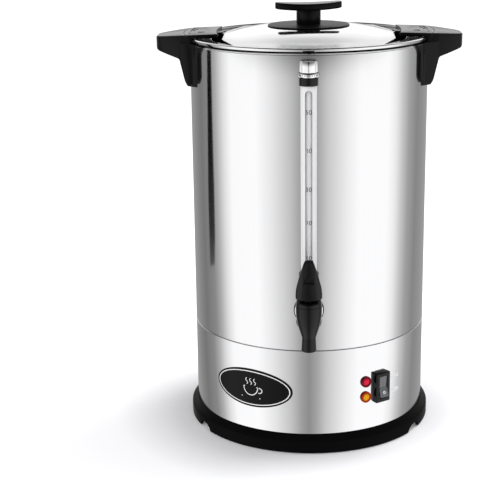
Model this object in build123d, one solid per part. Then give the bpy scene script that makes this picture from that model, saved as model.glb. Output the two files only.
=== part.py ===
from build123d import *
import os
from math import cos, degrees, radians, sin, sqrt

# Coffee urn. Millimetres, +Z up, the front (tap side) faces -Y.
# The origin is on the tank's axis, in the plane that the rubber feet stand on.
# Angles round the urn are counted from the front, positive towards +X.

# ---------------------------------------------------------------- driving sizes
# shell and base
SHELL_R = 110.0            # outside of the tank wall and of the lower band
SHEET = 0.8                # stainless sheet
SEAM_Z = 98.0              # joint between the lower band and the tank
SEAM_GAP = 0.4
FLOOR_RISE = 5.0           # inside floor of the tank above the seam
BEAD_TOP_Z = 369.65        # top of the tank's rolled rim
BEAD_R = 2.1               # radius of the rolled rim's section
BEAD_PROUD = 0.8           # how far the rolled rim stands out from the wall
LEDGE_WIDTH = 20.0         # lid seat pressed inwards below the rim, from the shell's outside
LEDGE_DROP = 2.95          # from the top of the rim down to the lid seat
WELL_R = 24.0              # pump well in the tank floor
WELL_DEPTH = 9.0

RING_OVERHANG = 5.9        # base ring outside the shell
RING_WALL = 2.7
RING_SIDE_Z = 11.75        # top of the ring's upright side
RING_TOP_Z = 17.35         # top of its sloping shoulder
FOOT_PROUD = 0.5           # rubber feet below the ring
FOOT_COUNT = 4
FOOT_INSET = 16.0          # shell to the circle of the feet
FOOT_R = 9.0
PLATE_SHEET = 1.2          # steel closing plate
WEB_Z = 10.0               # underside of the ring's inner web
WEB_THICK = 2.6
WEB_WIDTH = 26.0           # shell to the inner edge of the web
SEAT_GAP = 0.1             # band in the ring's groove, joggle in the tank's skirt
NOTCH_ANGLE = 59.8         # drain notches in the ring's lower edge
NOTCH_WIDTH = 21.5
NOTCH_HEIGHT = 6.2

TIE_COUNT = 3
TIE_INSET = 44.0           # shell to the circle of the tie studs
TIE_R = 2.5
HOLE_GAP = 0.3             # screw, stud or shank in its clearance hole, all round
NUT_HEIGHT = 4.0
BASE_SCREW_R = 2.0
SCREW_HEAD_R = 4.0
SCREW_HEAD_Z = 3.0
SCREW_HEAD_H = 2.6
BOSS_R = 5.0
BOSS_H = 11.4              # screw bosses above the ring's web
THREAD_GAP = 0.03          # drawn gap at every screwed or pushed-in joint

# lid
LID_GAP = 0.6              # lid edge to rolled rim
LID_SHEET = 0.8
LID_EDGE_R = 0.8           # rolled edge of the lid
LID_SEAL = 0.9
SEAL_NIP = 0.02            # gap between the lid's flange and its seal
LID_FLANGE_INSET = 28.0    # shell to where the lid's dome starts
LID_DOME_H = 9.0           # dome above the flange
LID_FLAT_INSET = 31.8      # shell to the cut-away side
LID_FLAT_HALF = 33.0       # half length of the straight stretch of that side
LID_CUT_END_INSET = 47.0   # the cut-away side meets the round edge this far in
DISC_R = 38.0
DISC_THICK = 1.5
STEM_R = 11.2
STEM_H = 12.8
KNOB_HALF = 30.6           # half length of the knob bar
KNOB_DEPTH = 25.0
KNOB_THICK = 6.0
KNOB_RISE = 1.5            # the bar's ends are higher than its middle
KNOB_TURN = 9.0
KNOB_SCREW_R = 3.0

# handles
HANDLE_OUT = 31.0          # shell to the outer end of a handle
HANDLE_HALF = 33.0         # half depth of the grip
HANDLE_END_HALF = 14.0
HANDLE_TOP_RISE = 4.2      # inner end above the rolled rim
HANDLE_OVER_RIM = 0.45     # gap between the handle and the top of the rim
HANDLE_FALL = 3.8          # the top falls this much towards the outer end
HANDLE_END_H = 12.0
HANDLE_OVER = 28.0         # how far a handle reaches in over the rim
HANDLE_HOLLOW = 3.4        # hollow of the inner end, between its two corners
HOOK_REACH = 2.8           # hook beyond the handle's inner end
LEG_DROP = 42.5            # rim top to the foot of the leg
LEG_TOP_OUT = 8.0
LEG_TOP_DROP = 18.6
LEG_FOOT_OUT = 2.6
LEG_HALF = 44.0            # half width of the leg at the wall
LEG_EDGE_HALF = 29.0       # and along its outer edge
PAD_HALF = 52.0            # half width of the thin pad on the wall
PAD_THICK = 2.2
PAD_FLARE = 7.0            # the pad widens by this much in its topmost stretch, as high as wide
PAD_CORNER_R = 9.0
PAD_LIFT = 4.0             # the pad's lower edge above the foot, away from the leg's middle
WALL_GAP = 0.1             # handle to tank wall
HANDLE_SCREW_DROP = 14.15  # rim top to the screws
HANDLE_SCREW_ANGLE = 8.5
HANDLE_SCREW_R = 2.5
HANDLE_SCREW_LEN = 12.0    # length inside the handle
HANDLE_WASHER = 1.3

# sight gauge
GAUGE_OUT = 12.5           # tank wall to the gauge's axis
GLASS_R = 3.8
GLASS_BORE = 2.7
SHIELD_R = 6.9
SHIELD_WALL = 1.2
RISER_RISE = 34.8          # shank axis to the top of the riser, where the shield stands
GLASS_SEAT_DEPTH = 8.0     # the glass goes down into the riser
GLASS_RISE = 4.4           # the glass stands up into the cap
SEAL_R = 5.2
RISER_R = 6.8
LOWER_COLLAR_R = 8.9
LOWER_COLLAR_H = 6.0
UPPER_COLLAR_DROP = 31.05  # rim top to the underside of the upper collar
UPPER_COLLAR_R = 8.2
UPPER_COLLAR_H = 6.6
SHIELD_GRIP = 2.0          # the upper collar takes in this much of the shield
BRACKET_STUD_R = 2.6
BRACKET_ARM_R = 3.2
BRACKET_STUD_IN = 8.0      # stud inside the tank wall
CAP_R = 7.5
CAP_FLANGE_R = 8.7
CAP_FLANGE_H = 4.2
CAP_TOP_DROP = 7.85        # rim top to the top of the gauge cap
SHIELD_SLOT = 6.1          # window in the front of the shield
SHIELD_SLOT_END = 3.8      # shield left whole above and below the window, clear of the collars

# tap
SHANK_RISE = 34.5          # tank floor to the shank's axis
SHANK_R = 8.0
SHANK_BORE = 5.0
SHANK_IN_BODY = 6.0        # shank screwed into the tap body
SHANK_IN_TANK = 12.0       # shank inside the tank wall
SHANK_NUT_FLATS = 23.0
SHANK_NUT_H = 6.0
COLLAR_R = 14.7
COLLAR_THICK = 2.2
WASHER_THICK = 1.4
VALVE_OUT = 31.0           # tank wall to the valve's upright axis
BARREL_R = 11.0            # side boss between collar and bulb
BULB_R = 11.9
BULB_RISE = 10.8           # shank axis to the bulb's widest height
BULB_TOP_SHARE = 0.93      # the bulb draws in to this share at its top
NECK_R = 6.1
NECK_DROP = 12.5           # shank axis down to the neck
SPOUT_R = 7.0
SPOUT_DROP = 27.0          # shank axis down to the spout's end
SPOUT_BORE = 4.5
CHAMBER_R = 7.6
SEAT_DROP = 8.0
CHAMBER_TOP_RISE = 14.0
BONNET_TOP_RISE = 18.7
BONNET_NECK = 4.0          # bonnet pushed into the chamber
STEM_ROD_R = 2.5
RUNNING_GAP = 0.06
PIVOT_RISE = 24.0
PIVOT_R = 1.5
EYE_HALF = 3.2             # half width of the stem's eye
HUB_R = 4.4                # lever hub round the pivot
TOE_OFFSET = 5.6           # pivot to the centre of the lever's lifting toe
TOE_R = 5.0
LEVER_TIP_RISE = 57.7
LEVER_FRONT = 11.0         # valve axis to the lever's front face
LEVER_THICK = 4.0
LEVER_CHEEK_IN = 3.6       # inner faces of the lever's two cheeks
LEVER_HALF = 11.4
LEVER_TIP_HALF = 2.5
CUP_R = 6.4
CUP_H = 7.5
SEAT_CLEARANCE = 0.05
SPRING_WIRE_R = 0.5
SPRING_R = 4.3
SPRING_TURNS = 5

# electrics
SWITCH_ANGLE = 36.6
SWITCH_Z = 56.3
SWITCH_W = 16.0
SWITCH_H = 28.6
SWITCH_PROUD = 5.0
SWITCH_FRAME = 2.2
SWITCH_CHEEK = 1.2
ROCKER_TILT = 9.0
ROCKER_PIN_R = 1.2
ROCKER_PIN_IN = 0.9        # pin in the frame's cheek
ROCKER_AXIS = 0.5          # rocker axis beyond the shell
ROCKER_SIDE_GAP = 0.25
LAMP_ACROSS = 16.1         # along the wall from the switch to the lamps
LAMP_Z = (63.6, 48.7)
LAMP_R = 5.3
LAMP_LENS_R = 4.2
INLET_Z = 52.0
INLET_W = 50.0
INLET_H = 24.0
INLET_FACE = 3.6           # front of the flange beyond the shell
INLET_PITCH = 40.0
INLET_BODY_W = 27.0
INLET_BODY_H = 19.5
INLET_SCREW_R = 1.6
INLET_RECESS = 17.0
INLET_PIN_AT = ((-7, -1.5), (7, -1.5), (0, 2.5))
BADGE_ANGLE = -29.0
BADGE_Z = 57.2
BADGE_W = 80.0
BADGE_H = 36.5
BADGE_THICK = 0.7

# heating
PUMP_HEATER_R = 21.0
PUMP_HEATER_H = 6.0
TERMINAL_X = 13.0
TERMINAL_R = 2.4
TAB_W = 6.2                # spade tabs
TAB_T = 0.8
CLAMP_HALF = 44.0
CLAMP_W = 14.0
CLAMP_THICK = 1.5
CLAMP_STUD_X = 37.0
CLAMP_STUD_R = 2.0
CLAMP_NUT_H = 3.2
WARM_IN_INSET = 66.0       # shell to the inside of the keep-warm ring
WARM_OUT_INSET = 57.0
WARM_H = 4.0
WARM_OPEN = 8.0
THERMOSTAT_INSET = 34.0
THERMOSTAT_R = 8.0
CUTOUT_INSET = 44.0
CUTOUT_Y = -38.0
CUTOUT_R = 7.0
FUSE_INSET = 34.0
FUSE_Y = 22.0
BLOCK_INSET = 76.0         # shell to the middle of the terminal block
BLOCK_HALF_W = 18.0
BLOCK_HALF_D = 8.0
BLOCK_H = 14.0

# percolator
TUBE_R = 5.0
TUBE_BORE = 4.0
TUBE_DROP = 16.65          # rim top to the top of the riser tube
FOOT_BELL_R = 21.0
BASKET_INSET = 40.0        # shell to the basket's wall
BASKET_DROP = 77.65        # rim top to the underside of the basket
BASKET_H = 52.0
BASKET_SHEET = 0.8
BASKET_HUB_GAP = 0.3

# ---------------------------------------------------------------- derived sizes
INNER_R = SHELL_R - SHEET
FLOOR_Z = SEAM_Z + FLOOR_RISE
LEDGE_INNER_R = SHELL_R - LEDGE_WIDTH
BEAD_CENTRE_R = SHELL_R + BEAD_PROUD - BEAD_R
BEAD_CENTRE_Z = BEAD_TOP_Z - BEAD_R
LEDGE_TOP_Z = BEAD_TOP_Z - LEDGE_DROP
LID_R = BEAD_CENTRE_R - BEAD_R - LID_GAP
LID_FLANGE_R = SHELL_R - LID_FLANGE_INSET
LID_FLAT = SHELL_R - LID_FLAT_INSET
LID_CUT_END_X = SHELL_R - LID_CUT_END_INSET
LID_FLANGE_Z = LEDGE_TOP_Z + LID_SEAL + LID_SHEET      # top of the lid's flange
DISC_Z = LID_FLANGE_Z + LID_DOME_H
STEM_Z = DISC_Z + DISC_THICK
KNOB_Z = STEM_Z + STEM_H
RING_R = SHELL_R + RING_OVERHANG
FOOT_CIRCLE_R = SHELL_R - FOOT_INSET
WEB_INNER_R = SHELL_R - WEB_WIDTH
TIE_CIRCLE_R = SHELL_R - TIE_INSET
PLATE_TOP_Z = WEB_Z
PLATE_Z = WEB_Z - PLATE_SHEET
UNDER_FLOOR_Z = FLOOR_Z - SHEET
WELL_Z = FLOOR_Z - WELL_DEPTH
UNDER_WELL_Z = WELL_Z - SHEET
GAUGE_Y = -(SHELL_R + GAUGE_OUT)
VALVE_Y = -(SHELL_R + VALVE_OUT)
SHANK_Z = FLOOR_Z + SHANK_RISE
GAUGE_FOOT_Z = SHANK_Z + RISER_RISE
UPPER_COLLAR_Z = BEAD_TOP_Z - UPPER_COLLAR_DROP
CAP_TOP_Z = BEAD_TOP_Z - CAP_TOP_DROP
BULB_Z = SHANK_Z + BULB_RISE
NECK_Z = SHANK_Z - NECK_DROP
SPOUT_END_Z = SHANK_Z - SPOUT_DROP
SEAT_Z = SHANK_Z - SEAT_DROP
CHAMBER_TOP_Z = SHANK_Z + CHAMBER_TOP_RISE
BONNET_TOP_Z = SHANK_Z + BONNET_TOP_RISE
PIVOT_Z = SHANK_Z + PIVOT_RISE
LEVER_TIP_Z = SHANK_Z + LEVER_TIP_RISE
HANDLE_BOTTOM_Z = BEAD_TOP_Z + HANDLE_OVER_RIM
HANDLE_TOP_Z = BEAD_TOP_Z + HANDLE_TOP_RISE
HANDLE_REACH = SHELL_R + HANDLE_OUT
HANDLE_INNER_X = SHELL_R - HANDLE_OVER
HOOK_X = HANDLE_INNER_X - HOOK_REACH
LEG_TOP_X = SHELL_R + LEG_TOP_OUT
LEG_FOOT_X = SHELL_R + LEG_FOOT_OUT
HANDLE_SCREW_Z = BEAD_TOP_Z - HANDLE_SCREW_DROP
BOSS_TOP_Z = WEB_Z + WEB_THICK + BOSS_H
BRACKET_Z = UPPER_COLLAR_Z + UPPER_COLLAR_H / 2
GAUGE_HEAD_Z = UPPER_COLLAR_Z + UPPER_COLLAR_H
COLLAR_Y = -SHELL_R - WASHER_THICK                       # back of the shank's collar
BOSS_Y = COLLAR_Y - COLLAR_THICK                         # front of that collar
NUT_Y = -sqrt(INNER_R ** 2 - COLLAR_R ** 2) + WASHER_THICK
UNDER_HEATER_Z = UNDER_WELL_Z - PUMP_HEATER_H
WARM_IN = SHELL_R - WARM_IN_INSET
WARM_OUT = SHELL_R - WARM_OUT_INSET
THERMOSTAT_AT = (0.0, SHELL_R - THERMOSTAT_INSET)
CUTOUT_AT = (CUTOUT_INSET - SHELL_R, CUTOUT_Y)
FUSE_AT = (FUSE_INSET - SHELL_R, FUSE_Y)
BLOCK_Y = SHELL_R - BLOCK_INSET
LAMP_ANGLE = SWITCH_ANGLE - degrees(LAMP_ACROSS / SHELL_R)
TUBE_TOP_Z = BEAD_TOP_Z - TUBE_DROP
BASKET_R = SHELL_R - BASKET_INSET
BASKET_Z = BEAD_TOP_Z - BASKET_DROP

parts = {}


# ---------------------------------------------------------------- shape helpers
def disc(radius, z0, z1, x=0.0, y=0.0):
    """Upright cylinder between two heights."""
    return Pos(x, y, (z0 + z1) / 2) * Cylinder(radius, z1 - z0)


def tube(outer, inner, z0, z1, x=0.0, y=0.0):
    """Upright ring between two heights."""
    return disc(outer, z0, z1, x, y) - disc(inner, z0, z1, x, y)


def block(x0, x1, y0, y1, z0, z1):
    """Box between two corners."""
    return Pos((x0 + x1) / 2, (y0 + y1) / 2, (z0 + z1) / 2) * Box(x1 - x0, y1 - y0, z1 - z0)


def turned(outline, x=0.0, y=0.0):
    """Solid turned about an upright axis from (radius, z) points."""
    points = [(r, 0, z) for r, z in outline]
    face = make_face(Polyline(*points, close=True))
    return Pos(x, y, 0) * revolve(face, Axis.Z)


def rod_y(radius, y0, y1, x=0.0, z=0.0):
    """Cylinder along Y."""
    return Pos(x, (y0 + y1) / 2, z) * Rot(90, 0, 0) * Cylinder(radius, y1 - y0)


def rod_x(radius, x0, x1, y=0.0, z=0.0):
    """Cylinder along X."""
    return Pos((x0 + x1) / 2, y, z) * Rot(0, 90, 0) * Cylinder(radius, x1 - x0)


def wall_plane(angle, z, radius):
    """Plane on the urn's side: x to the right along the wall, y up, z outwards."""
    a = radians(angle)
    return Plane(origin=(radius * sin(a), -radius * cos(a), z),
                 x_dir=(cos(a), sin(a), 0), z_dir=(sin(a), -cos(a), 0))


def hexagon(flats, height):
    """Hexagonal bar along Z from z = 0."""
    return extrude(RegularPolygon(flats / 2, 6, major_radius=False), height)


def on_circle(shape, radius, count, start=0.0):
    """Copies of a shape, made about the origin, round the urn's axis."""
    step = 360 / count
    return [Rot(0, 0, start + i * step) * Pos(radius, 0, 0) * shape for i in range(count)]


def group(solids):
    """Separate like solids in one node."""
    return Compound(children=list(solids))


# ---------------------------------------------------------------- tank
def make_tank():
    """Deep-drawn pot: wall, floor with pump well, rolled rim and lid seat."""
    pot = turned([
        (0, UNDER_WELL_Z), (WELL_R + SHEET, UNDER_WELL_Z), (WELL_R + SHEET, UNDER_FLOOR_Z),
        (INNER_R, UNDER_FLOOR_Z), (INNER_R, SEAM_Z + SEAM_GAP), (SHELL_R, SEAM_Z + SEAM_GAP),
        (SHELL_R, BEAD_CENTRE_Z - BEAD_R / 2), (INNER_R, BEAD_CENTRE_Z - BEAD_R / 2),
        (INNER_R, FLOOR_Z), (WELL_R, FLOOR_Z), (WELL_R, WELL_Z), (0, WELL_Z),
    ])
    rim = Pos(0, 0, BEAD_CENTRE_Z) * Torus(BEAD_CENTRE_R, BEAD_R)
    seat = tube(BEAD_CENTRE_R - BEAD_R / 2, LEDGE_INNER_R, LEDGE_TOP_Z - SHEET, LEDGE_TOP_Z)
    seat_lip = tube(LEDGE_INNER_R + SHEET, LEDGE_INNER_R, LEDGE_TOP_Z - 4 * SHEET, LEDGE_TOP_Z)
    tank = pot + rim + seat + seat_lip
    tank -= rod_y(SHANK_R + HOLE_GAP, -SHELL_R - 5, -INNER_R + 8, z=SHANK_Z)
    tank -= rod_y(BRACKET_STUD_R + HOLE_GAP, -SHELL_R - 5, -INNER_R + 5, z=BRACKET_Z)
    for side in (90, -90):
        for turn in (-HANDLE_SCREW_ANGLE, HANDLE_SCREW_ANGLE):
            at = wall_plane(side + turn, HANDLE_SCREW_Z, SHELL_R)
            tank -= at * Cylinder(HANDLE_SCREW_R + HOLE_GAP, 12)
    return tank


# ---------------------------------------------------------------- base
def make_lower_band():
    """Cylindrical band with a joggle at the top that centres the tank's skirt."""
    joggle_r = INNER_R - SEAT_GAP
    band = tube(SHELL_R, INNER_R, WEB_Z + WEB_THICK + SEAT_GAP, SEAM_Z)
    band += tube(INNER_R + SHEET / 2, joggle_r - SHEET, SEAM_Z - 2.0, SEAM_Z)
    band += tube(joggle_r, joggle_r - SHEET, SEAM_Z - 1.0, UNDER_FLOOR_Z - 0.7)
    for z in LAMP_Z:
        band -= wall_plane(LAMP_ANGLE, z, SHELL_R) * Cylinder(LAMP_LENS_R + 0.2, 12)
    frame_w = SWITCH_W - 2 * SWITCH_FRAME
    frame_h = SWITCH_H - 2 * SWITCH_FRAME
    band -= wall_plane(SWITCH_ANGLE, SWITCH_Z, SHELL_R) * Box(frame_w + 0.4, frame_h + 0.4, 16)
    back = wall_plane(180, INLET_Z, SHELL_R)
    band -= back * Box(INLET_BODY_W + 0.5, INLET_BODY_H + 0.5, 20)
    for x in (-INLET_PITCH / 2, INLET_PITCH / 2):
        band -= back * Pos(x, 0, 0) * Cylinder(INLET_SCREW_R + HOLE_GAP, 20)
    return band


def notch_cutter():
    """Notch in the ring's lower edge: concave on one side, steep on the other."""
    half = NOTCH_WIDTH / 2
    low = -1.0
    curve = ThreePointArc((-half, 0), (-0.83 * half, 0.62 * NOTCH_HEIGHT), (-0.38 * half, NOTCH_HEIGHT))
    rest = Polyline((-0.38 * half, NOTCH_HEIGHT), (0.58 * half, NOTCH_HEIGHT), (0.92 * half, 0),
                    (0.92 * half, low), (-half, low), (-half, 0))
    return extrude(make_face([curve, rest]), 4 * RING_WALL, both=True)


def make_base_ring():
    """Moulded ring: skirt, sloping shoulder, groove for the band, and inner web."""
    inner = RING_R - RING_WALL
    groove_out = SHELL_R + 1.5 * SEAT_GAP
    groove_in = INNER_R - 1.5 * SEAT_GAP
    groove_z = WEB_Z + WEB_THICK + SEAT_GAP
    ring = turned([
        (RING_R, FOOT_PROUD), (RING_R, RING_SIDE_Z), (groove_out, RING_TOP_Z),
        (groove_out, groove_z), (groove_in, groove_z), (groove_in, RING_TOP_Z),
        (groove_in - RING_WALL, RING_TOP_Z), (groove_in - RING_WALL, WEB_Z + WEB_THICK),
        (WEB_INNER_R, WEB_Z + WEB_THICK), (WEB_INNER_R, WEB_Z), (inner, WEB_Z),
        (inner, FOOT_PROUD),
    ])
    cutter = notch_cutter()
    for angle in (NOTCH_ANGLE, 180 + NOTCH_ANGLE):
        ring -= wall_plane(angle, FOOT_PROUD, RING_R) * cutter
    for angle in (-NOTCH_ANGLE, 180 - NOTCH_ANGLE):
        ring -= wall_plane(angle, FOOT_PROUD, RING_R) * mirror(cutter, Plane.YZ)
    bosses = on_circle(disc(BOSS_R, WEB_Z + WEB_THICK, BOSS_TOP_Z), FOOT_CIRCLE_R, FOOT_COUNT, 45)
    holes = on_circle(disc(BASE_SCREW_R, WEB_Z - 1, BOSS_TOP_Z - 1.5), FOOT_CIRCLE_R, FOOT_COUNT, 45)
    return ring + bosses - holes


def make_bottom_plate():
    """Steel plate under the web, with cooling slots and holes for screws and studs."""
    plate = disc(RING_R - RING_WALL - 0.6, PLATE_Z, PLATE_TOP_Z)
    screw_hole = disc(BASE_SCREW_R + HOLE_GAP, PLATE_Z - 1, PLATE_TOP_Z + 1)
    stud_hole = disc(TIE_R + HOLE_GAP, PLATE_Z - 1, PLATE_TOP_Z + 1)
    plate -= on_circle(screw_hole, FOOT_CIRCLE_R, FOOT_COUNT, 45)
    plate -= on_circle(stud_hole, TIE_CIRCLE_R, TIE_COUNT, 30)
    slot = Pos(0, 0, (PLATE_Z + PLATE_TOP_Z) / 2) * extrude(SlotOverall(15, 3), 3, both=True)
    for radius, count in ((0.18 * SHELL_R, 8), (0.38 * SHELL_R, 16)):
        plate -= on_circle(slot, radius, count, 11)
    return plate


def make_feet():
    """Tapered rubber feet, each held by the screw that passes up through it."""
    foot = turned([(0, 0), (FOOT_R - 1, 0), (FOOT_R, 1), (FOOT_R - 0.6, PLATE_Z), (0, PLATE_Z)])
    foot -= disc(BASE_SCREW_R + HOLE_GAP, -1, PLATE_Z + 1)
    foot -= disc(SCREW_HEAD_R + 0.5, -1, SCREW_HEAD_Z + SCREW_HEAD_H)
    return group(on_circle(foot, FOOT_CIRCLE_R, FOOT_COUNT, 45))


def make_base_screws():
    head = disc(SCREW_HEAD_R, SCREW_HEAD_Z, SCREW_HEAD_Z + SCREW_HEAD_H)
    head -= Pos(0, 0, SCREW_HEAD_Z) * Box(5, 1, 1.6) + Pos(0, 0, SCREW_HEAD_Z) * Box(1, 5, 1.6)
    shank = disc(BASE_SCREW_R - THREAD_GAP, SCREW_HEAD_Z + SCREW_HEAD_H, BOSS_TOP_Z - 3)
    return group(on_circle(head + shank, FOOT_CIRCLE_R, FOOT_COUNT, 45))


def make_tie_studs():
    """Studs welded under the tank floor; they pull tank, band, ring and plate together."""
    stud = disc(TIE_R, PLATE_Z - NUT_HEIGHT - 2.5, UNDER_FLOOR_Z)
    return group(on_circle(stud, TIE_CIRCLE_R, TIE_COUNT, 30))


def make_tie_nuts():
    nut = Pos(0, 0, PLATE_Z - NUT_HEIGHT) * hexagon(8.0, NUT_HEIGHT)
    nut -= disc(TIE_R + THREAD_GAP, PLATE_Z - NUT_HEIGHT - 1, PLATE_Z + 1)
    return group(on_circle(nut, TIE_CIRCLE_R, TIE_COUNT, 30))


# ---------------------------------------------------------------- heating
def make_pump_heater():
    """Cast heating disc under the pump well, with two terminals."""
    z0 = UNDER_HEATER_Z
    heater = disc(PUMP_HEATER_R, z0, UNDER_WELL_Z)
    heater -= Pos(0, 0, z0) * Torus(PUMP_HEATER_R - 4, 1.2)
    for x in (-TERMINAL_X, TERMINAL_X):
        heater += disc(TERMINAL_R, z0 - 4, z0 + 1, x=x)
        heater += block(x - TAB_T / 2, x + TAB_T / 2, -TAB_W / 2, TAB_W / 2, z0 - 12, z0 - 3)
    return heater


def make_heater_clamp():
    """Steel strap that presses the heating disc against the well."""
    z1 = UNDER_HEATER_Z
    strap = block(-CLAMP_HALF, CLAMP_HALF, -CLAMP_W / 2, CLAMP_W / 2, z1 - CLAMP_THICK, z1)
    for x in (-CLAMP_STUD_X, CLAMP_STUD_X):
        strap -= disc(CLAMP_STUD_R + 0.2, z1 - 5, z1 + 5, x=x)
    for x in (-TERMINAL_X, TERMINAL_X):
        strap -= disc(TERMINAL_R + 1.6, z1 - 5, z1 + 5, x=x)
    return strap


def make_clamp_studs():
    z0 = UNDER_HEATER_Z - CLAMP_THICK - CLAMP_NUT_H - 2
    return group([disc(CLAMP_STUD_R, z0, UNDER_FLOOR_Z, x=x) for x in (-CLAMP_STUD_X, CLAMP_STUD_X)])


def make_clamp_nuts():
    z1 = UNDER_HEATER_Z - CLAMP_THICK
    nut = Pos(0, 0, z1 - CLAMP_NUT_H) * hexagon(7.0, CLAMP_NUT_H)
    nut -= disc(CLAMP_STUD_R + THREAD_GAP, z1 - 5, z1 + 1)
    return group([Pos(x, 0, 0) * nut for x in (-CLAMP_STUD_X, CLAMP_STUD_X)])


def make_keep_warm_element():
    """Open ring element bonded under the tank floor."""
    ring = tube(WARM_OUT, WARM_IN, UNDER_FLOOR_Z - WARM_H, UNDER_FLOOR_Z)
    opening = WARM_OPEN / 2
    ring -= block(-WARM_OUT - 1, 0, -opening, opening, UNDER_FLOOR_Z - 10, UNDER_FLOOR_Z + 1)
    middle = (WARM_IN + WARM_OUT) / 2
    z1 = UNDER_FLOOR_Z - WARM_H
    for y in (-WARM_OPEN, WARM_OPEN):
        x = -sqrt(middle ** 2 - y ** 2)
        ring += block(x - TAB_W / 2, x + TAB_W / 2, y - TAB_T / 2, y + TAB_T / 2, z1 - 8, z1 + 0.5)
    return ring


def make_thermostat(x, y, radius, height):
    """Bimetal disc thermostat clipped under the floor, with two tabs."""
    z1 = UNDER_FLOOR_Z
    body = disc(radius, z1 - height, z1, x, y) + disc(radius + 2.2, z1 - 1.6, z1, x, y)
    tab = block(-TAB_T / 2, TAB_T / 2, -TAB_W / 2, TAB_W / 2, z1 - height - 7, z1 - height + 1)
    for dx in (-radius / 2, radius / 2):
        body += Pos(x + dx, y, 0) * tab
    return body


def make_thermal_fuse():
    x, y = FUSE_AT
    z = UNDER_FLOOR_Z - 3.0
    body = rod_y(2.6, y - 8, y + 8, x=x, z=z)
    leads = rod_y(0.6, y - 16, y + 16, x=x, z=z)
    strap = block(x - 5, x + 5, y - 2.5, y + 2.5, z + 2.0, UNDER_FLOOR_Z)
    return body + leads + strap


def make_terminal_block():
    """Ceramic block on the bottom plate where the inside wires join."""
    front, back = BLOCK_Y - BLOCK_HALF_D, BLOCK_Y + BLOCK_HALF_D
    base = block(-BLOCK_HALF_W, BLOCK_HALF_W, front, back, PLATE_TOP_Z, PLATE_TOP_Z + BLOCK_H)
    for x in (-12, 0, 12):
        base -= rod_y(2.6, front - 6, back + 6, x=x, z=PLATE_TOP_Z + 6)
        base -= disc(2.0, PLATE_TOP_Z + 7, PLATE_TOP_Z + BLOCK_H + 2, x, BLOCK_Y)
    return base


def wire(points, radius=1.1):
    """Insulated wire along straight runs joined by round bends."""
    path = FilletPolyline(*points, radius=7)
    section = Plane(origin=path @ 0, z_dir=path % 0) * Circle(radius)
    return sweep(section, path=path)


def make_wiring():
    """Inside wires between inlet, terminal block, switch, thermostats and heaters."""
    block_z = PLATE_TOP_Z + 6
    heater_z = UNDER_HEATER_Z - 12.8
    cutout_z = UNDER_FLOOR_Z - 2 * CUTOUT_R - 1
    cutout_x, cutout_y = CUTOUT_AT
    switch = wall_plane(SWITCH_ANGLE, SWITCH_Z, SHELL_R - 28).origin
    front = BLOCK_Y - BLOCK_HALF_D - 1
    back = BLOCK_Y + BLOCK_HALF_D + 1
    inlet_y = SHELL_R - 26
    inlet_z = INLET_Z - 3
    wires = [
        wire([(x, inlet_y, inlet_z), (x, inlet_y - 10, inlet_z), (lane, back + 15, block_z),
              (lane, back, block_z)])
        for x, lane in ((-7, -12), (7, 12))
    ]
    wires += [
        wire([(0, front, block_z), (0, front - 13, block_z), (-TERMINAL_X, -12, 40),
              (-TERMINAL_X, 0, heater_z)]),
        wire([(12, front, block_z), (12, front - 17, block_z), (SHELL_R - 64, 76 - SHELL_R, 30),
              (switch.X - 6, switch.Y + 10, SWITCH_Z), (switch.X, switch.Y, SWITCH_Z)]),
        wire([(-12, front, block_z), (-12, front - 15, block_z), (cutout_x, cutout_y + 4, 46),
              (cutout_x, cutout_y, cutout_z)]),
    ]
    return group(wires)


# ---------------------------------------------------------------- inlet, switch, lamps
def make_power_inlet():
    """Recessed appliance inlet in the back of the band."""
    back = wall_plane(180, INLET_Z, SHELL_R)
    flange = back * Pos(0, 0, 0.5) * Box(INLET_W, INLET_H, 6.2)
    flange -= disc(SHELL_R, 0, SEAM_Z)
    body = back * Pos(0, 0, -9.5) * Box(INLET_BODY_W, INLET_BODY_H, 25)
    body -= back * Pos(0, 0, 4.8) * Box(INLET_BODY_W + 2, INLET_BODY_H + 2, 2.4)
    inlet = flange + body
    face = Polygon((-12, -8), (12, -8), (12, 4), (8, 8), (-8, 8), (-12, 4), align=None)
    cavity = extrude(Plane(back.origin + back.z_dir * 3.8, x_dir=back.x_dir, z_dir=back.z_dir) * face,
                     -INLET_RECESS)
    inlet -= cavity
    for x, y in INLET_PIN_AT:
        inlet -= back * Pos(x, y, -15) * Box(2.04, 4.04, 30)
    for x in (-INLET_PITCH / 2, INLET_PITCH / 2):
        inlet -= back * Pos(x, 0, 0) * Cylinder(INLET_SCREW_R + 0.2, 20)
    return inlet


def make_inlet_pins():
    back = wall_plane(180, INLET_Z, SHELL_R)
    pins = []
    for x, y in INLET_PIN_AT:
        pins.append(back * Pos(x, y, -13.0) * Box(2, 4, 24))
    return group(pins)


def make_inlet_screws():
    back = wall_plane(180, INLET_Z, SHELL_R)
    screws = []
    for x in (-INLET_PITCH / 2, INLET_PITCH / 2):
        head = Pos(x, 0, INLET_FACE) * Cone(3.0, 2.2, 1.8, align=(Align.CENTER, Align.CENTER, Align.MIN))
        head -= Pos(x, 0, INLET_FACE + 1.8) * (Box(4, 0.8, 1.6) + Box(0.8, 4, 1.6))
        shank = Pos(x, 0, INLET_FACE - 7) * Cylinder(INLET_SCREW_R, 14)
        screws.append(back * (head + shank))
    return group(screws)


def make_inlet_nuts():
    back = wall_plane(180, INLET_Z, SHELL_R)
    inside = sqrt(INNER_R ** 2 - (INLET_PITCH / 2 + 3.5) ** 2) - SHELL_R
    nuts = []
    for x in (-INLET_PITCH / 2, INLET_PITCH / 2):
        nut = Pos(x, 0, inside - 3.0) * hexagon(6.0, 3.0)
        nut -= Pos(x, 0, inside - 2) * Cylinder(INLET_SCREW_R + THREAD_GAP, 8)
        nuts.append(back * nut)
    return group(nuts)


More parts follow.
